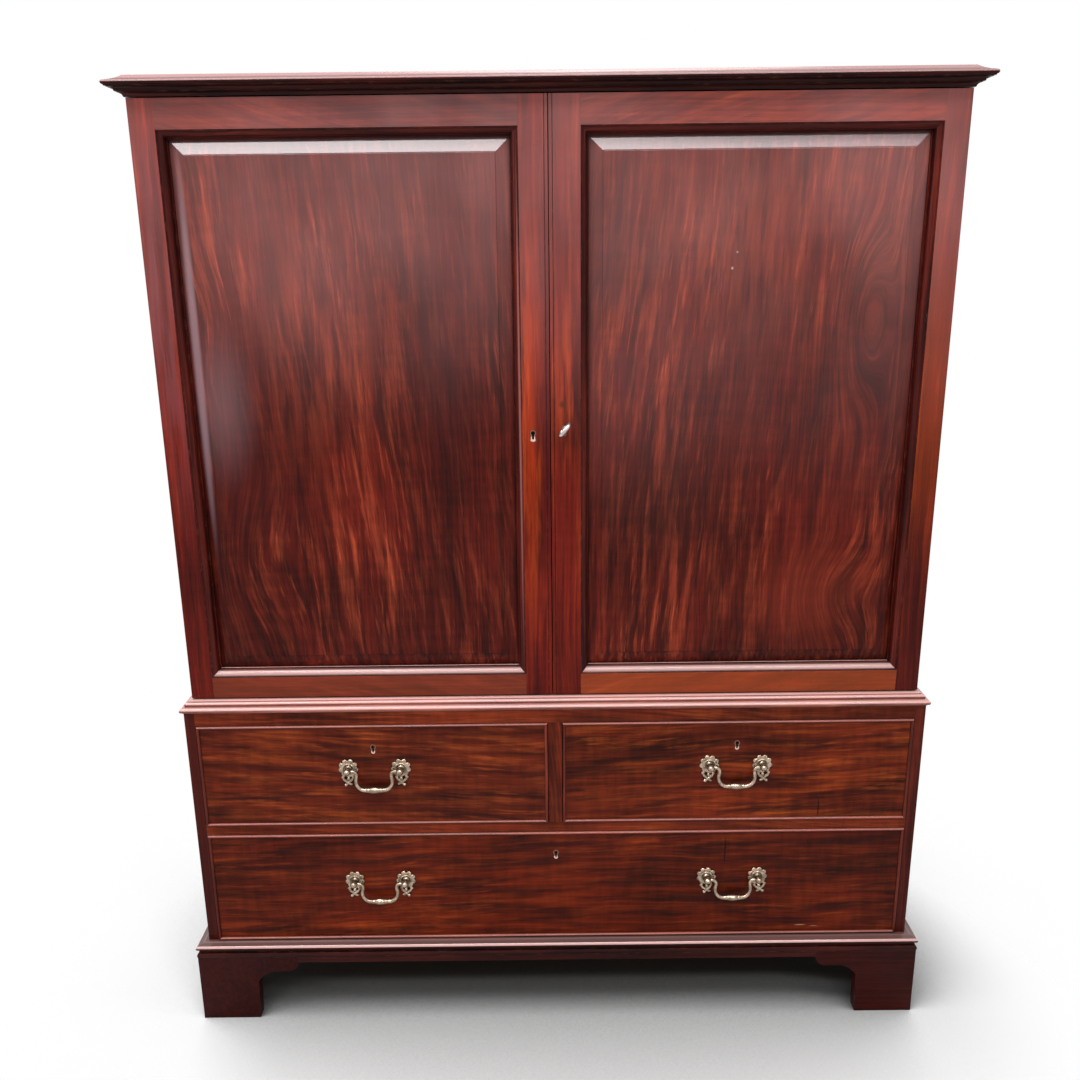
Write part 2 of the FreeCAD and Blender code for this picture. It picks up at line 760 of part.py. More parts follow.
def door_rails(side):
    outer, open_outer, open_inner, meeting = door_edges(side)
    a, b = span(open_outer, open_inner)
    all_tenons = tenons(side, 0.0)
    rails = []
    for number, (z0, z1) in enumerate(((z_door_foot, z_panel_foot), (z_panel_head, z_door_head))):
        rail = block(a, b, y_door_face, y_door_back, z0, z1).cut(groove_for_panel(side))
        rail = rail.fuse(all_tenons[2 * number:2 * number + 2])
        rails.append(rail.removeSplitter())
    return rails


def door_panel(side):
    """Raised and fielded panel: a tongue all round, a wide bevel, and a flat field with a shoulder."""
    outer, open_outer, open_inner, meeting = door_edges(side)
    a, b = span(open_outer, open_inner)
    z0, z1 = z_panel_foot, z_panel_head
    y_edge = y_door_face + panel_edge_depth
    grip = panel_in_groove
    slab = block(a - grip, b + grip, y_edge, y_edge + panel_tongue, z0 - grip, z1 + grip)
    w = door_moulding_width

    def frame(inset, y):
        corners = [V(a + inset, y, z0 + inset), V(b - inset, y, z0 + inset),
                   V(b - inset, y, z1 - inset), V(a + inset, y, z1 - inset)]
        return Part.makePolygon(corners + [corners[0]])

    bevel = Part.makeLoft([frame(w, y_edge), frame(w + bevel_width, y_edge - bevel_rise)], True, True)
    inset = w + bevel_width + 1.0
    y_field = y_edge - bevel_rise - field_shoulder
    field = block(a + inset, b - inset, y_field, y_edge - bevel_rise, z0 + inset, z1 - inset)
    field = eased(field, field_shoulder * 0.6, lambda c: abs(c.y - y_field) < 0.01)
    return slab.fuse([bevel, field]).removeSplitter()


def mitred_frame(x0, x1, z0, z1, width, section):
    """Four strips round a rectangle, mitred. section is (distance in, depth) points."""
    depths = [(point[-1][1] if isinstance(point[0], tuple) else point[1]) for point in section]
    y_low, y_high = min(depths) - width, max(depths) + width
    w = width
    outer = [(x0, z0), (x1, z0), (x1, z1), (x0, z1)]
    inner = [(x0 + w, z0 + w), (x1 - w, z0 + w), (x1 - w, z1 - w), (x0 + w, z1 - w)]
    across, up = V(x1 - x0, 0, 0), V(0, 0, z1 - z0)
    runs = [(lambda s, y: V(x0, y, z0 + s), across), (lambda s, y: V(x1 - s, y, z0), up),
            (lambda s, y: V(x0, y, z1 - s), across), (lambda s, y: V(x0 + s, y, z0), up)]
    strips = []
    for i, (place, run) in enumerate(runs):
        k = (i + 1) % 4
        plan = prism_y([outer[i], outer[k], inner[k], inner[i]], y_low, y_high)
        strips.append(face_of(section, place).extrude(run).common(plan))
    return strips


def door_moulding(side):
    """Ovolo and fillet planted in the angle between frame and panel."""
    outer, open_outer, open_inner, meeting = door_edges(side)
    a, b = span(open_outer, open_inner)
    y = y_door_face
    deep = y + panel_edge_depth
    w = door_moulding_width
    section = [(0.0, y + 1.0), (1.6, y + 1.0), (1.6, y + 2.6), ((w * 0.62, y + 5.4), (w - 2.6, deep - 5.0)),
               (w - 2.6, deep - 3.4), (w - 0.6, deep - 3.4), (w, deep - 2.6), (w, deep), (0.0, deep)]
    return mitred_frame(a, b, z_panel_foot, z_panel_head, w, section)


# lock in the right door and its keyhole through the stile
lock_x0 = x_right_edge
lock_x1 = x_right_edge + lock_width
lock_z0 = key_height - lock_below_key
lock_z1 = lock_z0 + lock_height
lock_body = block(lock_x0, lock_x1, y_lock_front, y_door_back, lock_z0, lock_z1)
lock_hollow = block(lock_x0 + lock_wall, lock_x1 - lock_wall, y_lock_front + lock_wall,
                    y_door_back - lock_wall, lock_z0 + lock_wall, lock_z1 - lock_wall)
bolt_slot = block(lock_x0 - 1, lock_x0 + lock_wall + 1, y_lock_bolt - bolt_fit,
                  y_lock_bolt + lock_bolt_thickness + bolt_fit, z_lock_bolt - lock_bolt_height / 2 - bolt_fit,
                  z_lock_bolt + lock_bolt_height / 2 + bolt_fit)
lock_case = lock_body.cut([lock_hollow, bolt_slot, keyhole(x_key, key_height, 0.0, y_lock_front - 1,
                                                           y_lock_front + lock_wall + 1)])
lock_room = block(lock_x0 - 1, lock_x1 + lock_fit, y_lock_front - lock_fit, y_door_back + 1,
                  lock_z0 - lock_fit, lock_z1 + lock_fit)
door_lock_bolt = block(lock_x0 + bolt_start, lock_x0 + bolt_start + lock_bolt_length, y_lock_bolt,
                       y_lock_bolt + lock_bolt_thickness, z_lock_bolt - lock_bolt_height / 2,
                       z_lock_bolt + lock_bolt_height / 2)
mortise_depth = lock_bolt_throw + mortise_end_room
half_mortise = lock_bolt_height / 2.0 + mortise_room
lock_mortise = block(x_left_edge - mortise_depth, x_left_edge + 1, y_lock_bolt - mortise_room,
                     y_lock_bolt + lock_bolt_thickness + mortise_room,
                     z_lock_bolt - half_mortise, z_lock_bolt + half_mortise)

# the left door
stiles = door_stiles(-1)
stiles[1] = stiles[1].cut([lock_mortise,
                           keyhole(x_left_keyhole, left_keyhole_height, 0.0, y_door_face - 1,
                                   y_door_face + blind_keyhole_depth),
                           keyhole(x_left_keyhole, left_keyhole_height, thread_width, y_door_face - 1,
                                   y_door_face + thread_depth)])
save("door_left_stiles", stiles)
save("door_left_rails", door_rails(-1))
save("door_left_panel", [door_panel(-1)])
save("door_left_moulding", door_moulding(-1))
save("door_left_hinges", hinge_set(-1, True))
save("door_left_escutcheon", [key_thread(x_left_keyhole, left_keyhole_height, y_door_face, 0.1)])

# the right door
stiles = door_stiles(1)
stiles[1] = stiles[1].cut([lock_room,
                           keyhole(x_key, key_height, 0.0, y_door_face - 1, y_lock_front + 1),
                           keyhole(x_key, key_height, thread_width, y_door_face - 1,
                                   y_door_face + thread_depth)])
save("door_right_stiles", stiles)
save("door_right_rails", door_rails(1))
save("door_right_panel", [door_panel(1)])
save("door_right_moulding", door_moulding(1))
save("door_right_hinges", hinge_set(1, True))
save("door_right_lock", [lock_case, key_thread(x_key, key_height, y_door_face, 0.1)])
save("door_lock_bolt", [door_lock_bolt])


# ---------------------------------------------------------------- key
def door_key():
    """Key with an open oval bow, a collar and a flag that turns inside the lock."""
    y_bit = y_lock_front + lock_wall + key_bit_gap
    y_collar = y_door_face - key_collar_reach
    y_bow = y_collar - key_bow_length
    shank = rod(V(x_key, y_collar, key_height), V(0, 1, 0), key_shank_radius,
                y_bit + key_bit_length - y_collar)
    collar = rod(V(x_key, y_collar, key_height), V(0, 1, 0), key_collar_radius, key_collar_length)
    bit = block(x_key - key_bit_thickness / 2, x_key + key_bit_thickness / 2, y_bit, y_bit + key_bit_length,
                key_height - key_bit_radius, key_height)
    half = key_bow_width / 2.0
    middle = y_bow + key_bow_length / 2.0

    def oval(scale, thickness):
        ellipse = Part.Ellipse(V(x_key - thickness / 2, middle, key_height), half * scale,
                               key_bow_length / 2.0 * scale)
        ellipse.Axis = V(1, 0, 0)
        ellipse.XAxis = V(0, 0, 1)
        return Part.Face(Part.Wire(ellipse.toShape())).extrude(V(thickness, 0, 0))

    bow = oval(1.0, key_bow_thickness).cut(oval(key_bow_opening, key_bow_thickness + 2))
    bow = eased(bow, key_bow_thickness * 0.3, lambda c: True)
    key = shank.fuse([collar, bit, bow])
    key.rotate(V(x_key, 0, key_height), V(0, 1, 0), key_tilt)
    return key


save("door_key", [door_key()])


# ---------------------------------------------------------------- bolts of the left door
def door_bolt(z_end, up):
    """Round bolt with a knob, its end at z_end, pointing up or down."""
    direction = 1.0 if up else -1.0
    start = V(x_door_bolt, y_door_bolt, z_end - direction * door_bolt_length)
    bar = rod(start, V(0, 0, direction), door_bolt_radius, door_bolt_length)
    knob_z = z_end - direction * bolt_knob_from_end
    knob = rod(V(x_door_bolt, y_door_bolt, knob_z), V(0, 1, 0), bolt_knob_radius / 2.0, bolt_knob_length)
    head = Part.makeSphere(bolt_knob_radius, V(x_door_bolt, y_door_bolt + bolt_knob_length, knob_z))
    return bar.fuse([knob, head])


def bolt_plate(z_end, up):
    """Back plate and two guides that the bolt slides in."""
    direction = 1.0 if up else -1.0
    far_end = z_end - direction * (door_bolt_length + bolt_plate_overhang)
    a, b = span(z_end - direction * bolt_plate_overhang, far_end)
    half = bolt_plate_width / 2.0
    plate = block(x_door_bolt - half, x_door_bolt + half,
                  y_door_back, y_door_back + bolt_plate_thickness, a, b)
    half = bolt_guide_width / 2.0
    y_guide = y_door_bolt + door_bolt_radius + bolt_guide_wall
    guides = []
    for z in (a + bolt_guide_from_end, b - bolt_guide_from_end):
        guides.append(block(x_door_bolt - half, x_door_bolt + half, y_door_back, y_guide,
                            z - bolt_guide_length / 2, z + bolt_guide_length / 2))
    body = plate.fuse(guides)
    bore = rod(V(x_door_bolt, y_door_bolt, a), V(0, 0, 1), door_bolt_radius + door_bolt_fit, b - a)
    return body.cut(bore).removeSplitter()


z_upper_bolt = z_upper_ceiling - door_bolt_clear
z_lower_bolt = z_upper_floor + door_bolt_clear
save("door_left_bolt_plates", [bolt_plate(z_upper_bolt, True), bolt_plate(z_lower_bolt, False)])
save("bolt_upper", [door_bolt(z_upper_bolt, True)])
save("bolt_lower", [door_bolt(z_lower_bolt, False)])

# ---------------------------------------------------------------- drawers
half_divider = divider_width / 2.0
drawer_spaces = {
    "left": (-half_opening, -half_divider, z_short_foot, z_short_head,
             [-short_handle_centre], short_handle_drop),
    "right": (half_divider, half_opening, z_short_foot, z_short_head,
              [short_handle_centre], short_handle_drop),
    "long": (-half_opening, half_opening, z_long_foot, z_long_head,
             [-long_handle_centre, long_handle_centre], long_handle_drop),
}
y_front_back = y_drawer_face + drawer_front_thickness
y_drawer_end = y_back_inside - drawer_end_gap


def drawer_lock_parts(x, z_head):
    """Lock case, bolt, the room both take in the front, and the mortise over the bolt."""
    half = drawer_lock_width / 2.0
    y0 = y_front_back - drawer_lock_thickness
    case = block(x - half, x + half, y0, y_front_back, z_head - drawer_lock_height, z_head)
    half_bolt = drawer_lock_bolt_width / 2.0
    y_bolt = y0 + (drawer_lock_thickness - lock_bolt_thickness) / 2.0
    bolt = block(x - half_bolt, x + half_bolt, y_bolt, y_bolt + lock_bolt_thickness,
                 z_head - bolt_start - drawer_lock_bolt_height, z_head - bolt_start)
    bolt_room = block(x - half_bolt - bolt_fit, x + half_bolt + bolt_fit, y_bolt - bolt_fit,
                      y_bolt + lock_bolt_thickness + bolt_fit,
                      z_head - bolt_start - drawer_lock_bolt_height, z_head + 1)
    key_room = keyhole(x, z_head - keyhole_below_top, 0.0, y0 - 1, y0 + drawer_lock_thickness / 2.0)
    case = case.cut([bolt_room, key_room])
    room = block(x - half - lock_fit, x + half + lock_fit, y0 - lock_fit, y_front_back + 1,
                 z_head - drawer_lock_height - lock_fit, z_head + 1)
    mortise = block(x - half_bolt - mortise_room, x + half_bolt + mortise_room, y_bolt - mortise_room,
                    y_bolt + lock_bolt_thickness + mortise_room,
                    z_head, z_head + drawer_lock_bolt_throw + mortise_end_room)
    return case, bolt, room, mortise


def tails(x0, x1, z0, z1):
    """Dovetails on the front end of a drawer side, between two heights."""
    height = z1 - z0
    count = max(3, int(height / dovetail_pitch))
    pitch = height / count
    shapes = []
    for i in range(count):
        low = z0 + i * pitch + dovetail_pin / 2.0
        high = z0 + (i + 1) * pitch - dovetail_pin / 2.0
        y1 = y_front_back
        y0 = y1 - dovetail_length
        outline = [(y1, low + dovetail_splay), (y0, low), (y0, high), (y1, high - dovetail_splay)]
        shapes.append(prism_x(outline, x0, x1))
    return shapes


def drawer_handles(centres, z_axis):
    """Places of the handle posts as (x, side of the handle)."""
    half = handle_spacing / 2.0
    return [(centre + sign * half, sign) for centre in centres for sign in (-1, 1)]


def build_drawer(name):
    """All the nodes of one drawer. Returns the mortise that its lock bolt needs in the rail above."""
    x0, x1, z_foot, z_head, centres, drop = drawer_spaces[name]
    x0, x1 = x0 + drawer_gap, x1 - drawer_gap
    z0, z1 = z_foot, z_head - drawer_gap
    z_axis = z_head - drop
    x_middle = (x0 + x1) / 2.0
    t = bead_thickness
    case, bolt, lock_hole, mortise = drawer_lock_parts(x_middle, z1)

    front = block(x0, x1, y_drawer_face + bead_rebate, y_front_back, z0, z1)
    front = front.fuse(block(x0 + t, x1 - t, y_drawer_face, y_drawer_face + bead_rebate, z0 + t, z1 - t))
    front = front.removeSplitter()
    side_z0, side_z1 = z0, z1 - drawer_side_drop
    st = drawer_side_thickness
    left_tails = tails(x0, x0 + st, side_z0, side_z1)
    right_tails = tails(x1 - st, x1, side_z0, side_z1)
    z_key = z1 - keyhole_below_top
    front = front.cut(left_tails + right_tails)
    front = front.cut([lock_hole, keyhole(x_middle, z_key, 0.0, y_drawer_face - 1, y_front_back),
                       keyhole(x_middle, z_key, thread_width, y_drawer_face - 1,
                               y_drawer_face + thread_depth)])
    for x, sign in drawer_handles(centres, z_axis):
        front = front.cut(rod(V(x, y_drawer_face - 1, z_axis), V(0, 1, 0),
                              post_shank_radius + post_hole_slack, drawer_front_thickness + 2))
    save("drawer_" + name + "_front", [front])

    left = block(x0, x0 + st, y_front_back, y_drawer_end, side_z0, side_z1)
    left = left.fuse(left_tails).removeSplitter()
    right = block(x1 - st, x1, y_front_back, y_drawer_end, side_z0, side_z1)
    right = right.fuse(right_tails).removeSplitter()
    z_bottom = z0 + drawer_bottom_lift
    z_bottom_top = z_bottom + drawer_bottom_thickness
    bottom = block(x0 + st, x1 - st, y_front_back, y_drawer_end, z_bottom, z_bottom_top)
    back = block(x0 + st, x1 - st, y_drawer_end - drawer_back_thickness, y_drawer_end,
                 z_bottom_top, side_z1 - drawer_back_drop)
    save("drawer_" + name + "_box", [left, right, bottom, back])

    y = y_drawer_face
    section = [(0.0, y + bead_rebate), (0.0, y - bead_proud + t / 2),
               ((t / 2, y - bead_proud), (t, y - bead_proud + t / 2)), (t, y + bead_rebate)]
    save("drawer_" + name + "_beads", mitred_frame(x0, x1, z0, z1, t, section))
    save("drawer_" + name + "_lock", [case, key_thread(x_middle, z_key, y_drawer_face, 0.1)])
    save("drawer_" + name + "_lock_bolt", [bolt])
    save("drawer_" + name + "_plates", handle_plates(centres, z_axis))
    return mortise


# ---------------------------------------------------------------- handles
y_swing = y_drawer_face - bail_standoff


def rosette(x, z_axis):
    """Lobed disc with a leaf hanging from it, and a hole for the post."""
    y0 = y_drawer_face - rosette_thickness
    ring = rosette_radius - rosette_lobe_radius
    disc = rod(V(x, y0, z_axis), V(0, 1, 0), ring + rosette_lobe_radius / 3.0, rosette_thickness)
    for i in range(rosette_lobes):
        turn = FreeCAD.Rotation(V(0, 1, 0), 360.0 * (i + 0.5) / rosette_lobes)
        lobe_start = V(x, y0, z_axis) + turn.multVec(V(0, 0, ring))
        disc = disc.fuse(rod(lobe_start, V(0, 1, 0), rosette_lobe_radius, rosette_thickness))
    half = rosette_leaf_width / 2.0
    shoulder = z_axis - ring
    middle = shoulder - rosette_lobe_radius
    leaf = prism_y([(x - half / 2.0, shoulder), ((x - half, middle), (x, z_axis - rosette_leaf_length)),
                    ((x + half, middle), (x + half / 2.0, shoulder))],
                   y_drawer_face - rosette_leaf_thickness, y_drawer_face)
    hole = rod(V(x, y0, z_axis), V(0, 1, 0), post_shank_radius + post_hole_slack, rosette_thickness)
    return disc.fuse(leaf).cut(hole).removeSplitter()


def handle_nut(x, z_axis):
    nut = rod(V(x, y_front_back, z_axis), V(0, 1, 0), nut_radius, nut_thickness)
    hole = rod(V(x, y_front_back, z_axis), V(0, 1, 0), post_shank_radius + post_hole_slack, nut_thickness)
    return nut.cut(hole)


def handle_post(x, sign, z_axis):
    """Round boss with a domed head, a cross hole for the bail's pin and a shank through the front."""
    y_head = y_drawer_face - handle_reach
    y_seat = y_drawer_face - rosette_thickness
    y_neck = y_head + post_dome
    y_end = y_front_back + nut_thickness + post_end_past_nut
    ball_radius = (post_radius ** 2 + post_dome ** 2) / (2.0 * post_dome)
    half_angle = math.asin(post_radius / ball_radius) / 2.0
    on_dome = (ball_radius * math.sin(half_angle), y_head + ball_radius * (1.0 - math.cos(half_angle)))
    outline = [(0.0, y_head), (on_dome, (post_radius, y_neck)), (post_radius, y_seat),
               (post_shank_radius, y_seat), (post_shank_radius, y_end), (0.0, y_end)]
    post = face_of(outline, lambda r, y: V(x, y, z_axis + r)).revolve(V(x, 0, z_axis), V(0, 1, 0), 360)
    mouth = 2.0 * post_radius
    depth = mouth - post_radius + bail_pin_in_post + bail_pin_end_gap
    hole = rod(V(x - sign * mouth, y_swing, z_axis), V(sign, 0, 0), bail_pin_radius + bail_pin_fit, depth)
    return post.cut(hole)


def handle_plates(centres, z_axis):
    """Rosettes, the posts that hold the bails, and the nuts inside the drawer."""
    solids = []
    for x, sign in drawer_handles(centres, z_axis):
        solids += [rosette(x, z_axis), handle_post(x, sign, z_axis), handle_nut(x, z_axis)]
    return solids


def bail(centre, z_axis):
    """Swan-neck bail hanging from two pins, with a swelling and two rings on its lower bar."""
    post_face = handle_spacing / 2.0 - post_radius
    shoulder = bail_neck_half_width + bail_knee
    belly = (bail_half_width + bail_foot_half_width) / 2.0 + bail_knee / 2.0
    arm = [V(-shoulder, 0, 0), V(-bail_neck_half_width, 0, -0.12 * bail_drop),
           V(-bail_neck_half_width, 0, -0.3 * bail_drop), V(-bail_half_width, 0, -0.56 * bail_drop),
           V(-belly, 0, -0.84 * bail_drop), V(-bail_foot_half_width, 0, -bail_drop)]
    path = arm + [V(-p.x, 0, p.z) for p in reversed(arm)]
    pieces = []
    for here, there in zip(path[:-1], path[1:]):
        pieces.append(rod(here, there - here, bail_radius, (there - here).Length))
    for point in path:
        pieces.append(Part.makeSphere(bail_radius, point))
    for sign in (-1, 1):
        start = V(sign * shoulder, 0, 0)
        pieces.append(rod(start, V(sign, 0, 0), bail_radius, post_face - bail_post_gap - shoulder))
        pieces.append(rod(start, V(sign, 0, 0), bail_pin_radius, post_face + bail_pin_in_post - shoulder))
        ring = V((sign * bail_swell_length - bail_collar_length) / 2.0, 0, -bail_drop)
        pieces.append(rod(ring, V(1, 0, 0), bail_collar_radius, bail_collar_length))
    half = bail_swell_length / 2.0
    outline = [(-half, 0.0), (half, 0.0), (half, bail_radius),
               ((0.0, bail_swell_radius), (-half, bail_radius))]
    swell = face_of(outline, lambda x, r: V(x, 0, -bail_drop + r))
    pieces.append(swell.revolve(V(0, 0, -bail_drop), V(1, 0, 0), 360))
    shape = pieces[0].fuse(pieces[1:])
    shape.translate(V(centre, y_swing, z_axis))
    return shape


mortises = {name: build_drawer(name) for name in drawer_spaces}
z_short_axis = z_short_head - short_handle_drop
z_long_axis = z_long_head - long_handle_drop
save("bail_left", [bail(-short_handle_centre, z_short_axis)])
save("bail_right", [bail(short_handle_centre, z_short_axis)])
save("bail_long_left", [bail(-long_handle_centre, z_long_axis)])
save("bail_long_right", [bail(long_handle_centre, z_long_axis)])


# ---------------------------------------------------------------- lower case
def lower_side(side):
    a, b = span(side * half_opening, side * half_lower)
    board = block(a, b, y_drawer_face, y_back, z_case_foot, z_lower_top)
    x_edge = side * half_lower
    return eased(board, arris, lambda c: abs(c.x - x_edge) < 0.1 and abs(c.y - y_drawer_face) < 0.1)


y_rail_back = y_drawer_face + rail_depth
lower_top = block(-half_opening, half_opening, y_rail_back, y_back_inside,
                  z_lower_top - lower_top_thickness, z_lower_top)
lower_bottom = block(-half_opening, half_opening, y_drawer_face, y_back_inside, z_case_foot, z_long_foot)
save("lower_side_left", [lower_side(-1)])
save("lower_side_right", [lower_side(1)])
save("lower_boards", [lower_top, lower_bottom])
save("lower_back", planks(half_opening, z_case_foot, z_lower_top))

top_rail = block(-half_opening, half_opening, y_drawer_face, y_rail_back, z_short_head, z_lower_top)
top_rail = top_rail.cut([mortises["left"], mortises["right"]])
middle_rail = block(-half_opening, half_opening, y_drawer_face, y_rail_back, z_long_head, z_short_foot)
middle_rail = middle_rail.cut(mortises["long"])
save("drawer_rails", [top_rail, middle_rail])
divider = block(-half_divider, half_divider, y_drawer_face, y_rail_back, z_short_foot, z_short_head)
save("drawer_divider", [divider])

# runners under the short drawers, a guide between them, kickers over them, and a dust board
z_kicker = z_lower_top - lower_top_thickness
half_centre_runner = half_divider + runner_width
side_runner = block(half_opening - runner_width, half_opening, y_rail_back, y_back_inside,
                    z_long_head, z_short_foot)
centre_runner = block(-half_centre_runner, half_centre_runner, y_rail_back, y_back_inside,
                      z_long_head, z_short_foot)
guide = block(-half_divider, half_divider, y_rail_back, y_back_inside, z_short_foot,
              z_short_foot + guide_height)
side_kicker = block(half_opening - runner_width, half_opening, y_rail_back, y_back_inside,
                    z_short_head, z_kicker)
centre_kicker = block(-half_centre_runner, half_centre_runner, y_rail_back, y_back_inside,
                      z_short_head, z_kicker)
z_dust = (z_long_head + z_short_foot - dust_board_thickness) / 2.0
dust_board = block(half_centre_runner, half_opening - runner_width, y_rail_back, y_back_inside,
                   z_dust, z_dust + dust_board_thickness)
pairs = [side_runner, side_kicker, dust_board]
save("drawer_runners", pairs + mirrored(pairs) + [centre_runner, guide, centre_kicker])
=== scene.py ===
import math

import bpy
from mathutils import Euler, Matrix, Vector


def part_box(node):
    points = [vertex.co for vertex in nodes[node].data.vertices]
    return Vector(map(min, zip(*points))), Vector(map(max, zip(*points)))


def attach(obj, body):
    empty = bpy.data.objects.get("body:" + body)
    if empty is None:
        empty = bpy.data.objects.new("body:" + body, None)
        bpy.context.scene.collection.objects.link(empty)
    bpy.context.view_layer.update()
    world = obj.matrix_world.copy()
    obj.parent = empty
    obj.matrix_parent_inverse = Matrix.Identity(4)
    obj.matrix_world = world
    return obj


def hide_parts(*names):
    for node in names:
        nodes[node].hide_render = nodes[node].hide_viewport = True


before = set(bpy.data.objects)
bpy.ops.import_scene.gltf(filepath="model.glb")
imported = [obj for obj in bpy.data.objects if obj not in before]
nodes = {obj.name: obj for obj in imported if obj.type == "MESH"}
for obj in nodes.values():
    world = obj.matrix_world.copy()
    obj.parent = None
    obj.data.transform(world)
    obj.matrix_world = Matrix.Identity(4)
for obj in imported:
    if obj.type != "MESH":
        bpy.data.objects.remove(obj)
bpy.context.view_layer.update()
scene = bpy.context.scene
print("frame loaded:", len(nodes), "nodes")

# camera and lamps; angles in degrees

view = dict(place=(-0.0205, -1.8413, 1.3396), pitch=15.25, yaw=0.05, roll=-0.68, lens=33.333,
            sensor=36.0, near=0.05, far=60)

bpy.ops.object.camera_add(location=view["place"])
camera = bpy.context.object
camera.name = "frontCamera"
camera.data.lens = view["lens"]
camera.data.sensor_width = view["sensor"]
camera.data.clip_start = view["near"]
camera.data.clip_end = view["far"]
aim = Euler((math.radians(90 - view["pitch"]), 0, math.radians(view["yaw"]))).to_matrix()
aim = aim @ Matrix.Rotation(math.radians(view["roll"]), 3, "Z")
camera.rotation_euler = aim.to_euler()
scene.camera = camera
scene.view_settings.view_transform = "Standard"

lamps = {  # place, what it points at, width and height, watts
    "frontBox": ((-0.35, -3.15, 3.45), (0.0, -0.1, 1.0), (4.8, 0.42), 92),
    "highBox": ((-0.4, -1.85, 4.0), (0.0, -0.2, 0.7), (4.6, 0.6), 105),
    "overheadBox": ((-0.5, 0.45, 4.2), (0.05, 0.1, 0.0), (4.6, 1.5), 130),
    "sideBox": ((-3.4, -0.9, 2.2), (0.0, 0.0, 0.9), (1.2, 1.6), 16),
}
for name, (place, target, size, watts) in lamps.items():
    bpy.ops.object.light_add(type="AREA", location=place)
    light = bpy.context.object
    light.name = name
    light.data.shape = "RECTANGLE"
    light.data.size, light.data.size_y = size
    light.data.energy = watts
    light.rotation_euler = (Vector(target) - Vector(place)).to_track_quat("-Z", "Y").to_euler()


# small helpers for shader nodes

def feed(socket, value):
    if isinstance(value, bpy.types.NodeSocket):
        socket.id_data.links.new(value, socket)
    else:
        socket.default_value = value


def fill(sockets, values):
    for socket, value in zip(sockets, values):
        feed(socket, value)


def newNode(kind, *values):
    # a node in the node tree that the first socket among the values belongs to
    sockets = (value for value in values if isinstance(value, bpy.types.NodeSocket))
    return next(sockets).id_data.nodes.new(kind)


def calc(operation, *values, clamp=False):
    node = newNode("ShaderNodeMath", *values)
    node.operation = operation
    node.use_clamp = clamp
    fill(node.inputs, values)
    return node.outputs[0]


def times(first, second, clamp=False):
    return calc("MULTIPLY", first, second, clamp=clamp)


def vectorCalc(operation, *values):
    node = newNode("ShaderNodeVectorMath", *values)
    node.operation = operation
    fill(node.inputs, values)
    return node.outputs["Value" if operation in ("LENGTH", "DOT_PRODUCT") else "Vector"]


def spread(value, low, high, first=0.0, last=1.0):
    # runs smoothly from first to last while the value goes from low to high
    node = newNode("ShaderNodeMapRange", value)
    node.interpolation_type = "SMOOTHSTEP"
    names = ("Value", "From Min", "From Max", "To Min", "To Max")
    fill([node.inputs[name] for name in names], (value, low, high, first, last))
    return node.outputs["Result"]


def blend(*values, mode="MIX"):
    # values: how much of the second colour, the first colour, the second colour
    node = newNode("ShaderNodeMix", *values)
    node.data_type = "RGBA"
    node.blend_type = mode
    fill([node.inputs[index] for index in (0, 6, 7)], values)
    return node.outputs[2]


def blendPlace(*values):
    node = newNode("ShaderNodeMix", *values)
    node.data_type = "VECTOR"
    fill([node.inputs[index] for index in (0, 4, 5)], values)
    return node.outputs[1]


def cloud(place, stretch, detail=2.0, rough=0.5):
    node = newNode("ShaderNodeTexNoise", place)
    feed(node.inputs["Vector"], vectorCalc("MULTIPLY", place, stretch))
    for name, value in (("Scale", 1.0), ("Detail", detail), ("Roughness", rough)):
        node.inputs[name].default_value = value
    return node.outputs["Fac"]


def parts(place):
    node = newNode("ShaderNodeSeparateXYZ", place)
    feed(node.inputs[0], place)
    return node.outputs


def joined(*values):
    node = newNode("ShaderNodeCombineXYZ", *values)
    fill(node.inputs, values)
    return node.outputs[0]


def tint(color):
    # from a colour as it shows on screen, 0 to 255
    def straight(value):
        value /= 255
        return value / 12.92 if value <= 0.04045 else ((value + 0.055) / 1.055) ** 2.4
    return tuple(straight(value) for value in color) + (1.0,)


def newGroup(name, inputs, outputs):
    # inputs and outputs are lists of names under value, place or color
    group = bpy.data.node_groups.new(name, "ShaderNodeTree")
    kinds = {"value": "NodeSocketFloat", "place": "NodeSocketVector", "color": "NodeSocketColor"}
    for way, sockets in (("INPUT", inputs), ("OUTPUT", outputs)):
        for kind, labels in sockets.items():
            for label in labels:
                group.interface.new_socket(name=label, in_out=way, socket_type=kinds[kind])
    source = group.nodes.new("NodeGroupInput").outputs
    target = group.nodes.new("NodeGroupOutput").inputs
    return group, source, target


def useGroup(tree, group, **values):
    node = tree.nodes.new("ShaderNodeGroup")
    node.node_tree = group
    for name, value in values.items():
        feed(node.inputs[name], value)
    return node.outputs


def openness(tree, samples, distance):
    # 1 in the open, falling towards 0 in corners
    node = tree.nodes.new("ShaderNodeAmbientOcclusion")
    node.samples = samples
    node.inputs["Distance"].default_value = distance
    return node.outputs["AO"]


def finishShader(tree, shader, looks, color, rough, height, normal=None):
    # colour, roughness and a fine bump, as every material of the press ends
    feed(shader.inputs["Base Color"], color)
    feed(shader.inputs["Roughness"], rough)
    node = tree.nodes.new("ShaderNodeBump")
    node.inputs["Strength"].default_value = looks["bump"]
    node.inputs["Distance"].default_value = looks["bumpDepth"]
    feed(node.inputs["Height"], height)
    if normal:
        feed(node.inputs["Normal"], normal)
    feed(shader.inputs["Normal"], node.outputs[0])


# floor and white surroundings

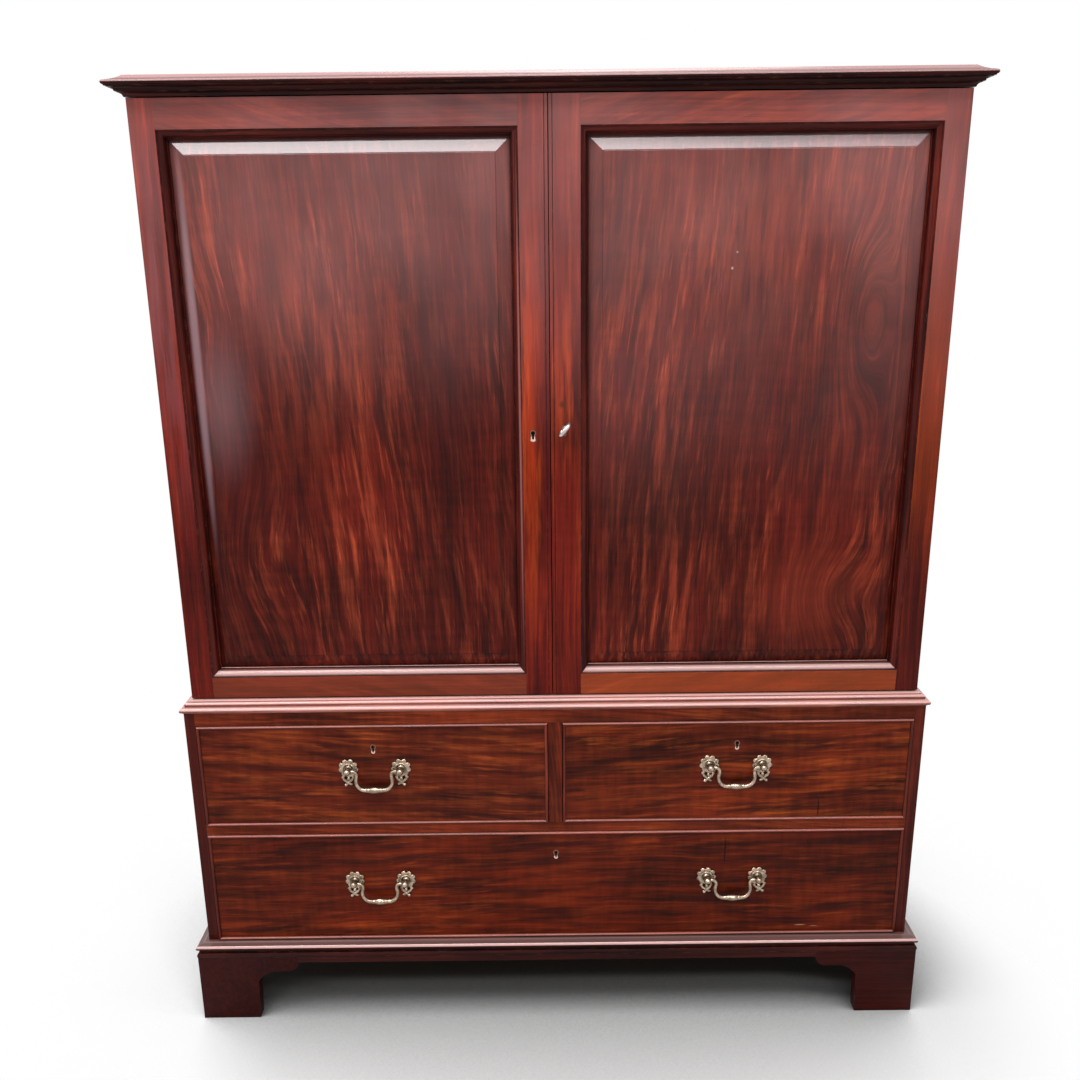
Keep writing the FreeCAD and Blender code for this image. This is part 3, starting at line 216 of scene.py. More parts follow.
floorLook = dict(size=40.0, tint=0.84, ambient=0.28, near=0.9, nearSamples=6, nearTint=0.10,
                 openFrom=0.22, openTo=1.0, whiteFrom=0.42, whiteTo=0.72,
                 fadeMiddle=(0.12, -0.40, 0.0), fadeFrom=0.58, fadeTo=0.86)


def seenDirectly(tree):
    path = tree.nodes.new("ShaderNodeLightPath").outputs
    seen = calc("MAXIMUM", path["Is Camera Ray"], path["Is Glossy Ray"])
    return calc("MAXIMUM", seen, path["Is Transmission Ray"])


world = bpy.data.worlds.new("paleStudio")
scene.world = world
world.use_nodes = True
tree = world.node_tree
background = tree.nodes["Background"]
background.inputs["Color"].default_value = (1, 1, 1, 1)
strength = spread(seenDirectly(tree), 0.0, 1.0, floorLook["ambient"], 1.0)
feed(background.inputs["Strength"], strength)

bpy.ops.mesh.primitive_plane_add(size=floorLook["size"], location=(0, 0, 0))
floor = bpy.context.object
floor.name = "paleFloor"
material = bpy.data.materials.new("paleFloor")
material.use_nodes = True
tree = material.node_tree
tree.nodes.clear()
spot = tree.nodes.new("ShaderNodeTexCoord").outputs["Object"]
matt = tree.nodes.new("ShaderNodeBsdfDiffuse")
# painted shadow: the floor darkens by ambient occlusion under and around the press
clear = openness(tree, floorLook["nearSamples"], floorLook["near"])
shade = spread(clear, floorLook["openFrom"], floorLook["openTo"], floorLook["nearTint"], 1.0)
shade = times(shade, floorLook["tint"])
feed(matt.inputs["Color"], joined(shade, shade, shade))
plain = tree.nodes.new("ShaderNodeEmission")
plain.inputs["Strength"].default_value = 1.0
away = vectorCalc("LENGTH", vectorCalc("SUBTRACT", spot, floorLook["fadeMiddle"]))
far = times(spread(away, floorLook["fadeFrom"], floorLook["fadeTo"]),
            spread(clear, floorLook["whiteFrom"], floorLook["whiteTo"]))
mixer = tree.nodes.new("ShaderNodeMixShader")
feed(mixer.inputs[0], times(far, seenDirectly(tree)))
feed(mixer.inputs[1], matt.outputs[0])
feed(mixer.inputs[2], plain.outputs[0])
output = tree.nodes.new("ShaderNodeOutputMaterial")
feed(output.inputs["Surface"], mixer.outputs[0])
floor.data.materials.append(material)
print("camera, lamps and floor set")


# wood figure, shared by every timber
# The grain runs along Z of the place that comes in, in metres.
# Each cloud has a stretch per metre, and may have an offset, a detail, a roughness, and ends:
# where its mask begins and ends, and what it then runs from and to.

figureClouds = {
    "drift": dict(stretch=(3, 3, 1.6)),
    "ripple": dict(offset=(4.1, 2.3, 7.7), stretch=(14, 14, 7)),
    "flames": dict(stretch=(1, 1, 1), detail=4.0, rough=0.6, ends=(0.44, 0.70)),
    "tongues": dict(offset=(2.2, 5.4, 8.3), stretch=(1.9, 1.9, 1.3), detail=3.0, rough=0.6,
                    ends=(0.56, 0.70)),
    "patches": dict(stretch=(5, 5, 3), ends=(0.38, 0.60, 0.35, 1.0)),
    "gaps": dict(offset=(9.2, 1.4, 3.3), stretch=(0.85, 0.85, 0.8), detail=2.5, rough=0.55,
                 ends=(0.42, 0.66)),
    "bands": dict(stretch=(8, 8, 0.9), detail=3.0, rough=0.6, ends=(0.36, 0.64)),
    "lines": dict(stretch=(190, 190, 3.5), detail=3.0, rough=0.6),
    "hairs": dict(stretch=(720, 720, 22), ends=(0.35, 0.65, -0.6, 0.6)),
    "mottle": dict(stretch=(16, 16, 70), ends=(0.36, 0.64, -1.0, 1.0)),
    "broad": dict(stretch=(5, 5, 4), ends=(0.36, 0.64, -1.0, 1.0)),
    "pores": dict(stretch=(1300, 1300, 60), detail=1.0, ends=(0.6, 0.72)),
    "sheen": dict(stretch=(6, 6, 6), detail=4.0, rough=0.6),
}
figureShares = dict(ripple=0.22, flames=0.6, bands=0.55, broad=0.26, lineHeight=0.35, poreDepth=0.6,
                    lineEnds=(0.38, 0.66, -1.0, 1.0))


def buildFigure():
    tree, given, made = newGroup(
        "mahoganyFigure", {"place": ["Place"], "color": ["Dark", "Middle", "Light"],
                           "value": ["Stripe Width", "Stripe Length", "Lean", "Flame", "Band",
                                     "Fine", "Mottle", "Wander"]},
        {"color": ["Color"], "value": ["Height", "Rough"]})
    share = figureShares

    def layer(name, place):
        look = figureClouds[name]
        if "offset" in look:
            place = vectorCalc("ADD", place, look["offset"])
        value = cloud(place, look["stretch"], look.get("detail", 2.0), look.get("rough", 0.5))
        return spread(value, *look["ends"]) if "ends" in look else value

    place = given["Place"]
    drift = calc("SUBTRACT", layer("drift", place), 0.5)
    ripple = calc("SUBTRACT", layer("ripple", place), 0.5)
    shift = calc("ADD", drift, times(ripple, share["ripple"]))
    x, y, z = parts(place)
    across = calc("ADD", x, times(shift, given["Wander"]))
    leaning = calc("ADD", across, times(z, given["Lean"]))
    bandPlace = joined(across, y, z)
    stripePlace = joined(calc("DIVIDE", leaning, given["Stripe Width"]),
                         calc("DIVIDE", y, given["Stripe Width"]),
                         calc("DIVIDE", z, given["Stripe Length"]))
    flames = times(layer("flames", stripePlace), share["flames"])
    flames = calc("MULTIPLY_ADD", layer("tongues", stripePlace), share["flames"], flames)
    flames = times(flames, layer("patches", place))
    bands = times(layer("bands", bandPlace), given["Band"])
    lines = layer("lines", bandPlace)
    color = blend(times(layer("gaps", stripePlace), given["Band"], clamp=True),
                  given["Middle"], given["Dark"])
    color = blend(times(bands, share["bands"], clamp=True), color, given["Dark"])
    color = blend(times(flames, given["Flame"], clamp=True), color, given["Light"])
    lined = times(spread(lines, *share["lineEnds"]), given["Fine"])
    haired = times(layer("hairs", bandPlace), given["Fine"])
    barred = times(layer("mottle", bandPlace), given["Mottle"])
    broad = times(layer("broad", place), times(given["Band"], share["broad"]))
    gain = calc("ADD", calc("ADD", lined, haired), barred)
    gain = calc("ADD", gain, calc("ADD", broad, 1.0))
    feed(made["Color"], blend(1.0, color, joined(gain, gain, gain), mode="MULTIPLY"))
    height = calc("SUBTRACT", times(lines, share["lineHeight"]),
                  times(layer("pores", bandPlace), share["poreDepth"]))
    feed(made["Height"], height)
    feed(made["Rough"], layer("sheen", place))
    return tree


def buildOval():
    tree, given, made = newGroup(
        "ovalMark", {"place": ["Place", "Centre", "Half"], "value": ["Soft"]}, {"value": ["Mask"]})
    away = vectorCalc("SUBTRACT", given["Place"], given["Centre"])
    away = vectorCalc("LENGTH", vectorCalc("DIVIDE", away, given["Half"]))
    inner = calc("SUBTRACT", 1.0, given["Soft"])
    feed(made["Mask"], spread(away, inner, 1.0, 1.0, 0.0))
    return tree


wearAndShadeLook = dict(samples=4, edgeFrom=0.995, edgeTo=0.90, patchScale=(60, 60, 60),
                patchFrom=0.62, patchTo=0.66, corner=0.012, grimeAndShadeFrom=0.75, grimeAndShadeTo=0.25,
                upwardFrom=0.08, upwardTo=0.24, levelFrom=0.88, levelTo=0.97)


def buildWearAndShade():
    tree, given, made = newGroup(
        "wearAndShadeMasks", {"value": ["Radius", "Breakup"]},
        {"value": ["Edge", "GrimeAndShade", "Upward", "Level"], "place": ["Normal"]})
    look = wearAndShadeLook
    normal = tree.nodes.new("ShaderNodeNewGeometry").outputs["Normal"]
    rounder = tree.nodes.new("ShaderNodeBevel")
    rounder.samples = look["samples"]
    feed(rounder.inputs["Radius"], given["Radius"])
    turned = vectorCalc("DOT_PRODUCT", rounder.outputs[0], normal)
    spot = tree.nodes.new("ShaderNodeTexCoord").outputs["Object"]
    patchy = spread(cloud(spot, look["patchScale"], 3.0, 0.6),
                    calc("SUBTRACT", look["patchFrom"], given["Breakup"]), look["patchTo"])
    edge = times(spread(turned, look["edgeFrom"], look["edgeTo"]), patchy)
    # the corner mask darkens corners and crevices by ambient occlusion: dirt and painted shade at
    # once
    corner = openness(tree, look["samples"], look["corner"])
    # faces turned up: masks that carry painted highlights and a stronger coat
    rise = parts(normal)[2]
    feed(made["Edge"], edge)
    feed(made["GrimeAndShade"], spread(corner, look["grimeAndShadeFrom"], look["grimeAndShadeTo"]))
    feed(made["Upward"], spread(rise, look["upwardFrom"], look["upwardTo"]))
    feed(made["Level"], spread(rise, look["levelFrom"], look["levelTo"]))
    feed(made["Normal"], rounder.outputs[0])
    return tree


figureGroup = buildFigure()
ovalGroup = buildOval()
wearAndShadeGroup = buildWearAndShade()


def useFigure(tree, place, looks):
    dark, middle, light = looks["wood"]
    return useGroup(tree, figureGroup, **{
        "Place": place, "Dark": tint(dark), "Middle": tint(middle), "Light": tint(light),
        "Stripe Width": looks["width"], "Stripe Length": looks["length"], "Lean": looks["lean"],
        "Flame": looks["flame"], "Band": looks["band"], "Fine": looks["fine"],
        "Mottle": looks["mottle"], "Wander": looks["wander"]})


def useKnot(tree, place, knot):
    # a swirl in the grain: lines bend round a spot
    x, z, wide, tall, push = knot
    mask = useGroup(tree, ovalGroup, Place=place, Centre=(x, 0.0, z), Half=(wide, 9.0, tall),
                    Soft=1.0)["Mask"]
    return times(mask, push)


def beyond(value, middle, half):
    # how far a coordinate lies outside a width
    away = calc("ABSOLUTE", calc("SUBTRACT", value, middle))
    return calc("SUBTRACT", away, half)


def grainPlace(tree, spot, looks):
    # turns the place so that the grain runs along Z
    x, y, z = parts(spot)
    upright, level, inward = joined(x, y, z), joined(z, y, x), joined(x, z, y)
    low, high = looks["box"]
    run = looks["grain"]
    if run == "boxed":  # sides and bottom run inward, the back board runs level
        backBoard = calc("GREATER_THAN", y, high.y - looks["backBoard"])
        place = blendPlace(backBoard, inward, level)
    elif run == "framed":  # four mitred lengths round an opening
        middle, half = (low + high) / 2, (high - low) / 2
        side, end = beyond(x, middle.x, half.x), beyond(z, middle.z, half.z)
        place = blendPlace(calc("GREATER_THAN", side, end), level, upright)
    elif run == "returned":  # a front length with a return at each end
        side = calc("SUBTRACT", calc("ABSOLUTE", x), high.x)
        front = calc("SUBTRACT", low.y, y)
        place = blendPlace(calc("GREATER_THAN", side, front), level, inward)
    else:
        place = {"upright": upright, "level": level, "inward": inward}[run]
    place = vectorCalc("ADD", place, looks["start"])
    for knot in looks.get("knots", ()):
        place = vectorCalc("ADD", place, joined(useKnot(tree, spot, knot), 0.0, 0.0))
    return place


def newMaterial(name):
    material = bpy.data.materials.new(name)
    material.use_nodes = True
    tree = material.node_tree
    shader = tree.nodes["Principled BSDF"]
    spot = tree.nodes.new("ShaderNodeTexCoord").outputs["Object"]
    return material, tree, shader, spot


markDeep = 0.012  # how far a mark reaches in, so that it doesn't show on the back
streakEnds = (0.36, 0.62)


def patch(face, at, half, color, amount, soft=0.5, streaks=None):
    # an oval mark on the face at this y
    return {"at": (at[0], face, at[1]), "half": (half[0], markDeep, half[1]), "tint": color,
            "amount": amount, "soft": soft, "streaks": streaks}


def addMarks(tree, spot, color, marks):
    for mark in marks:
        mask = useGroup(tree, ovalGroup, Place=spot, Centre=mark["at"], Half=mark["half"],
                        Soft=mark["soft"])["Mask"]
        if mark["streaks"]:
            streaky = cloud(spot, mark["streaks"], 3.0, 0.6)
            mask = times(mask, spread(streaky, *streakEnds))
        color = blend(times(mask, mark["amount"]), color, tint(mark["tint"]))
    return color


def mahogany(name, looks):
    material, tree, shader, spot = newMaterial(name)
    figure = useFigure(tree, grainPlace(tree, spot, looks), looks)
    wearAndShade = useGroup(tree, wearAndShadeGroup, Radius=looks["arris"], Breakup=looks["breakup"])
    marks = [patch(looks["face"], *mark) for mark in looks["marks"]]
    color = addMarks(tree, spot, figure["Color"], marks)
    height = parts(spot)[2]
    # painted reflection: a pale cloudy tint, growing towards the top of each part, stands in for
    # the sky mirrored in the polish
    paintedReflection = spread(height, looks["paintedReflectionFrom"], looks["paintedReflectionTo"], 0.0, looks["paintedReflectionHigh"])
    cloudy = spread(cloud(spot, looks["paintedReflectionCloud"], 3.0), *looks["paintedReflectionEnds"])
    color = blend(times(paintedReflection, cloudy), color, tint(looks["paintedReflection"]))
    # painted highlight: faces turned up take a pale tint, flat tops by their own amount, and only
    # above a given height where one is set
    topside = wearAndShade["Upward"]
    if "highlightAbove" in looks:
        highlightAboveMask = spread(height, looks["highlightAbove"], looks["highlightAbove"] + 0.002)
        topside = times(topside, highlightAboveMask)
    dust = looks["dust"]
    dusty = calc("MULTIPLY_ADD", wearAndShade["Level"], looks["levelHighlight"] - dust, dust)
    color = blend(times(topside, dusty), color, tint(looks["dustTint"]))
    # dirt and painted shade: a dark tint in corners and crevices by ambient occlusion
    color = blend(times(wearAndShade["GrimeAndShade"], looks["grimeAndShade"]), color, tint(looks["grimeAndShadeTint"]))
    color = blend(times(wearAndShade["Edge"], looks["edge"]), color, tint(looks["edgeTint"]))
    rough = calc("MULTIPLY_ADD", figure["Rough"], looks["roughRange"],
                 looks["rough"] - looks["roughRange"] / 2)
    rough = calc("MULTIPLY_ADD", wearAndShade["GrimeAndShade"], looks["grimeRough"], rough)
    shader.inputs["Specular IOR Level"].default_value = looks["gloss"]
    shiny = calc("MULTIPLY_ADD", wearAndShade["Level"], looks["levelCoat"] - looks["topCoat"],
                 looks["topCoat"] - looks["coat"])
    coat = calc("MULTIPLY_ADD", topside, shiny, looks["coat"])
    feed(shader.inputs["Coat Weight"], coat)
    shader.inputs["Coat Roughness"].default_value = looks["coatRough"]
    finishShader(tree, shader, looks, color, rough, figure["Height"], wearAndShade["Normal"])
    return material


# figured mahogany: what every polished part starts from
# A mark has its middle, half its width and height, its colour and strength, and may have its
# softness and the scale of its streaks.
# Its pale tint on faces turned up is a painted highlight, its pale tint towards the top a painted
# reflection, and its dark tint in corners dirt and painted shade at once.
polish = dict(
    wood=[(44, 11, 8), (76, 18, 11), (148, 60, 36)], grain="upright", start=(0, 0, 0),
    width=0.017, length=0.20, lean=0.0, flame=0.7, band=0.8, fine=0.22, mottle=0.05, wander=0.03,
    marks=(), arris=0.0008, breakup=0.1, edge=0.35, edgeTint=(168, 104, 80), grimeAndShade=0.8,
    grimeAndShadeTint=(14, 5, 4), grimeRough=0.15, rough=0.32, roughRange=0.3, gloss=0.05, bump=0.25,
    bumpDepth=0.0004, coat=0.07, topCoat=0.9, levelCoat=0.9, coatRough=0.12, dust=0.12,
    levelHighlight=0.12, dustTint=(176, 150, 148), paintedReflection=(200, 147, 145), paintedReflectionFrom=0.8, paintedReflectionTo=1.55,
    paintedReflectionHigh=0.0, paintedReflectionCloud=(4, 4, 3), paintedReflectionEnds=(0.3, 0.7, 0.65, 1.35),
)

# y of the fronts
panelFace, doorFace, drawerFace, railFace = -0.2364, -0.2485, -0.2615, -0.2515

# Mouldings, beads and bands take the strongest painted highlights on faces turned up; panels,
# stiles and rails take the painted reflection towards the top.
familyLooks = {
    "panel": dict(
        face=panelFace, paintedReflectionHigh=0.21, paintedReflectionFrom=0.85, paintedReflectionTo=1.6, width=0.0145, length=0.15,
        mottle=0.08, dustTint=(166, 158, 170)),
    "stile": dict(face=doorFace, width=0.014, length=0.3, paintedReflectionHigh=0.18, paintedReflectionFrom=1.0, grimeAndShade=0.45),
    "rail": dict(
        face=doorFace, grain="level", width=0.016, length=0.14, flame=0.5, paintedReflectionHigh=0.19,
        paintedReflection=(198, 150, 150)),
    "moulding": dict(
        face=doorFace, grain="framed", width=0.008, coat=0.12,
        wood=[(36, 7, 6), (66, 16, 11), (110, 36, 24)], dust=0.55, dustTint=(222, 176, 170)),
    "drawer": dict(
        face=drawerFace, grain="level", wood=[(44, 11, 6), (84, 26, 10), (136, 60, 22)],
        width=0.0155, length=0.125, lean=0.06, flame=0.68, band=0.85, wander=0.04, fine=0.21,
        mottle=0.10, gloss=0.04),
    "foot": dict(
        grain="returned", wood=[(36, 6, 5), (48, 10, 7), (64, 18, 11)], flame=0.4, band=0.5),
    "bead": dict(
        grain="framed", wood=[(60, 16, 12), (98, 34, 22), (140, 66, 44)], width=0.01, edge=0.7,
        breakup=0.2, coat=0.2, topCoat=0.5, dust=0.36, levelHighlight=0.36, dustTint=(196, 128, 116)),
    "side": dict(
        face=drawerFace, wood=[(50, 11, 8), (84, 24, 13), (114, 42, 22)], flame=0.5, rough=0.40,
        width=0.03, length=0.5),
    "band": dict(
        grain="returned", width=0.010, coat=0.25, wood=[(46, 9, 7), (84, 23, 15), (124, 46, 30)],
        dust=0.5, levelHighlight=0.5, grimeAndShade=0.55, dustTint=(216, 170, 164)),
}

panelStreaks, levelStreaks = (60, 60, 7), (12, 60, 70)
innerStreaks, outerStreaks = (90, 90, 6), (70, 70, 5)
deepWash, orangeWash, soot, scuff = (44, 8, 8), (176, 66, 22), (38, 10, 6), (186, 130, 104)
split, chip = (16, 5, 3), (186, 120, 100)

finishes = {
    "door_left_panel": dict(
        family="panel", lean=0.10, paintedReflectionFrom=1.02,
        knots=[(-0.50, 0.86, 0.12, 0.20, 0.035), (-0.55, 1.28, 0.09, 0.12, -0.014)],
        marks=[
            ((-0.37, 1.21), (0.16, 0.30), (150, 62, 40), 0.30, 1.0, panelStreaks),
            ((-0.50, 1.02), (0.16, 0.22), (52, 16, 16), 0.40, 1.0),
            ((-0.16, 1.20), (0.07, 0.30), (46, 16, 18), 0.45, 1.0),
            # painted reflection: pale grey strips on the left bevel and the upper left of the panel
            ((-0.5635, 1.22), (0.011, 0.40), (150, 128, 136), 0.5, 0.6),
            ((-0.53, 1.13), (0.07, 0.16), (124, 98, 102), 0.35, 1.0)]),
    "door_right_panel": dict(
        family="panel", lean=-0.10, start=(3.1, 0, 0.7), paintedReflectionHigh=0.165,
        knots=[(0.49, 1.25, 0.06, 0.20, 0.055), (0.47, 0.80, 0.10, 0.12, 0.04)],
        marks=[
            ((0.30, 1.38), (0.26, 0.22), (150, 66, 42), 0.25, 1.0, panelStreaks),
            ((0.20, 0.95), (0.14, 0.16), (50, 20, 14), 0.40, 1.0),
            ((0.42, 0.80), (0.16, 0.14), (130, 48, 30), 0.30, 1.0),
            ((0.288, 1.359), (0.0022, 0.0022), (190, 160, 150), 0.4),
            ((0.281, 1.335), (0.0022, 0.0028), (190, 160, 150), 0.6)]),
    "door_left_stiles": dict(
        family="stile", start=(1.3, 0, 2),
        wood=[(54, 10, 8), (92, 19, 10), (146, 46, 20)],
        marks=[
            ((-0.037, 1.10), (0.030, 0.42), orangeWash, 0.75, 0.9, innerStreaks),
            ((-0.0340, 1.14), (0.0150, 0.36), (178, 54, 12), 0.45, 1.0),
            # painted shade: a dark strip along the meeting edge of the doors
            ((-0.0065, 1.10), (0.0070, 0.55), (74, 14, 20), 0.45, 0.6),
            # painted highlight: a bright spot at the foot of the keyhole
            ((-0.0311, 1.0716), (0.0054, 0.0030), (224, 190, 184), 0.8),
            ((-0.605, 1.24), (0.045, 0.42), (112, 62, 66), 0.45, 0.9, outerStreaks),
            ((-0.60, 0.72), (0.09, 0.40), deepWash, 0.45, 0.9)]),
    "door_right_stiles": dict(
        family="stile", start=(5.3, 0, 4),
        wood=[(58, 11, 8), (98, 22, 11), (150, 52, 22)],
        marks=[
            ((0.024, 1.14), (0.028, 0.20), orangeWash, 0.55, 0.9, innerStreaks),
            ((0.60, 1.14), (0.09, 0.36), (170, 78, 36), 0.20, 0.9),
            ((0.60, 0.70), (0.09, 0.32), deepWash, 0.60, 0.9),
            ((0.0165, 1.1285), (0.0082, 0.0082), (60, 24, 10), 0.8, 0.8)]),
    "door_left_rails": dict(
        family="rail", start=(2.3, 0, 1), lean=0.3,
        wood=[(62, 16, 12), (98, 30, 18), (146, 56, 34)],
        marks=[((-0.31, 0.64), (0.6, 0.08), (156, 78, 50), 0.22, 0.6)]),
    "door_right_rails": dict(
        family="rail", start=(7.3, 0, 3), lean=-0.3,
        wood=[(70, 18, 12), (112, 34, 16), (156, 66, 34)], paintedReflectionHigh=0.15,
        marks=[((0.31, 0.64), (0.6, 0.08), (166, 80, 40), 0.33, 0.6)]),
    "door_left_moulding": dict(
        family="moulding", start=(1, 0, 8),
        # painted highlight: a pale line along the inner edge of the moulding by the meeting stile
        marks=[((-0.0515, 1.12), (0.0026, 0.48), (176, 112, 106), 0.4, 0.6)]),
    "door_right_moulding": dict(family="moulding", start=(2, 0, 6)),
    "drawer_left_front": dict(
        family="drawer", start=(0.4, 0, 0.3),
        marks=[
            ((-0.484, 0.455), (0.075, 0.024), soot, 0.75, 1.0, levelStreaks),
            ((-0.590, 0.417), (0.060, 0.026), soot, 0.70, 1.0, levelStreaks),
            ((-0.266, 0.425), (0.070, 0.014), soot, 0.60, 1.0, levelStreaks)]),
    "drawer_right_front": dict(
        family="drawer", start=(0.4, 0, 2.3), lean=-0.06,
        wood=[(44, 11, 6), (100, 32, 11), (148, 66, 22)],
        marks=[((0.464, 0.414), (0.0014, 0.022), split, 0.9)]),
    "drawer_long_front": dict(
        family="drawer", start=(3.4, 0, 5.3), lean=-0.04,
        wood=[(44, 11, 6), (85, 23, 6), (132, 52, 16)],
        marks=[
            ((0.3025, 0.330), (0.0016, 0.034), split, 0.9),
            ((0.445, 0.1735), (0.013, 0.0017), scuff, 0.6, 0.7),
            ((0.470, 0.1710), (0.010, 0.0012), scuff, 0.5, 0.7)]),
    "drawer_rails": dict(
        family="drawer", face=railFace, start=(6.4, 0, 7.3), width=0.009,
        wood=[(64, 18, 8), (100, 34, 14), (140, 62, 26)],
        marks=[
            # painted light: a paler band along the top rail, under the shade of the waist moulding
            ((0.0, 0.587), (0.66, 0.010), (166, 82, 56), 0.30, 0.6),
            ((0.31, 0.596), (0.035, 0.0018), chip, 0.45, 0.7),
            ((0.43, 0.592), (0.022, 0.0022), chip, 0.4, 0.7)]),
    "drawer_divider": dict(family="drawer", grain="upright", start=(8.4, 0, 1.3), width=0.009),
    "cornice": dict(
        family="band", wood=[(24, 6, 5), (46, 12, 9), (78, 26, 20)], coat=0.1, topCoat=0.2,
        levelCoat=0.2, levelHighlight=0.08, dustTint=(190, 146, 144)),
    # painted reflection: the waist moulding's wood is pale pink all over, standing in for the sky
    # mirrored in it, and its faces turned up take a strong painted highlight
    "waist_moulding": dict(
        family="band", start=(1, 0, 2), wood=[(112, 62, 54), (142, 86, 76), (164, 106, 94)],
        dust=0.75, levelHighlight=0.45, topCoat=0.8, grimeAndShade=0.12),
    # the base moulding's painted highlight lies only above 0.14 m, on its nose
    "base_moulding": dict(
        family="band", start=(2, 0, 4), wood=[(26, 6, 5), (50, 13, 10), (78, 26, 18)],
        dust=0.75, levelHighlight=0.12, coat=0.12, highlightAbove=0.140),
    "foot_front_left": dict(family="foot", start=(0, 0, 1)),
    "foot_front_right": dict(family="foot", start=(0, 0, 2)),
    "feet_rear": dict(family="foot", start=(0, 0, 3)),
    "upper_side_left": dict(family="side", start=(4, 0, 1)),
    "upper_side_right": dict(family="side", start=(4, 3, 2)),
    "lower_side_left": dict(
        family="side", start=(5, 1, 1),
        marks=[((-0.632, 0.38), (0.05, 0.40), (36, 6, 5), 0.6, 0.3)]),
    "lower_side_right": dict(family="side", start=(5, 4, 2)),
    "drawer_left_beads": dict(family="bead"),
    "drawer_right_beads": dict(family="bead", start=(0, 0, 1)),
    "drawer_long_beads": dict(family="bead", start=(0, 0, 2)),
}


def dress(node, material):
    piece = nodes[node]
    piece.data.materials.clear()
    piece.data.materials.append(material)


for node, looks in finishes.items():
    full = {**polish, **familyLooks[looks["family"]], **looks}
    full["box"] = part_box(node)
    dress(node, mahogany(node + "_polish", full))
print("mahogany dressed:", len(finishes), "parts")


bareWood = dict(
    start=(0, 0, 0), lean=0.0, flame=0.6, band=0.6, fine=0.22, mottle=0.03, wander=0.08,
    arris=0.001, breakup=0.1, grimeAndShade=0.5, grimeAndShadeTint=(60, 40, 24), roughRange=0.3, gloss=0.3,
    bump=0.5, bumpDepth=0.0005, boardShift=(1.37, 2.9), boardSeed=(3.31, 5.17, 7.73),
    boardTone=(0.3, 0.7, 0.78, 1.14), seam=(0.004, 0.012, 0.35, 1.0),
)


def boardPlace(spot, place, looks):
    # boards side by side: each its own piece of timber, with a dark seam between
    low, high = looks["box"]
    pitch = (high.x - low.x) / looks["boards"]
    count = calc("DIVIDE", calc("SUBTRACT", parts(spot)[0], low.x), pitch)
    board = calc("FLOOR", count)
    across, along = looks["boardShift"]
    place = vectorCalc("ADD", place, joined(times(board, across), 0.0, times(board, along)))
    tone = cloud(joined(board, board, board), looks["boardSeed"], 0.0)
    seam = spread(calc("PINGPONG", count, 0.5), *looks["seam"])
    return place, times(spread(tone, *looks["boardTone"]), seam)


def plainWood(name, looks):
    # bare or waxed inside timber
    material, tree, shader, spot = newMaterial(name)
    place = grainPlace(tree, spot, looks)
    if "boards" in looks:
        place, tone = boardPlace(spot, place, looks)
    figure = useFigure(tree, place, looks)
    wearAndShade = useGroup(tree, wearAndShadeGroup, Radius=looks["arris"], Breakup=looks["breakup"])
    color = figure["Color"]
    if "boards" in looks:
        color = blend(1.0, color, joined(tone, tone, tone), mode="MULTIPLY")
    # dirt and painted shade: a dark tint in corners by ambient occlusion
    color = blend(times(wearAndShade["GrimeAndShade"], looks["grimeAndShade"]), color, tint(looks["grimeAndShadeTint"]))
    rough = calc("MULTIPLY_ADD", figure["Rough"], looks["roughRange"],
                 looks["rough"] - looks["roughRange"] / 2)
    shader.inputs["Specular IOR Level"].default_value = looks["gloss"]
    finishShader(tree, shader, looks, color, rough, figure["Height"])
    return material


insideWoods = {
    "pineLevel": dict(
        wood=[(122, 88, 54), (160, 122, 80), (184, 148, 102)], grain="level", width=0.03,
        length=0.6, rough=0.62, nodes=["upper_top", "upper_bottom", "lower_boards"]),
    "pineInward": dict(
        wood=[(118, 84, 50), (156, 118, 76), (180, 144, 98)], grain="inward", width=0.03,
        length=0.6, rough=0.62, nodes=["tray_runners", "drawer_runners"]),
    "pineUpperBack": dict(
        wood=[(98, 70, 44), (134, 100, 66), (158, 124, 86)], grain="upright", width=0.035,
        length=0.7, rough=0.75, boards=6, nodes=["upper_back"]),
    "pineLowerBack": dict(
        wood=[(94, 68, 44), (128, 96, 64), (152, 120, 84)], grain="upright", width=0.035,
        length=0.7, rough=0.75, boards=6, start=(5, 0, 3), nodes=["lower_back"]),
    "oakTray": dict(
        wood=[(112, 76, 42), (150, 108, 64), (176, 134, 86)], grain="level", width=0.018,
        length=0.4, rough=0.5, nodes=["trays"]),
    "oakLining": dict(
        wood=[(108, 74, 42), (146, 106, 64), (172, 132, 86)], grain="boxed", backBoard=0.0102,
        width=0.018, length=0.4, rough=0.55,
        nodes=["drawer_left_box", "drawer_right_box", "drawer_long_box"]),
}
for name, looks in insideWoods.items():
    looks["box"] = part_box(looks["nodes"][0])
    timber = plainWood(name, {**bareWood, **looks})
    for node in looks["nodes"]:
        dress(node, timber)

bareMetal = dict(breakup=0.3, tarnish=(130, 130, 130), tarnishEnds=(0.36, 0.64),
                 pitting=(500, 500, 500), footHighlightAmount=0.95, footHighlightSoft=0.6, roughRange=0.12,
                 grimeRough=0.3, bump=0.35, bumpDepth=0.0003)


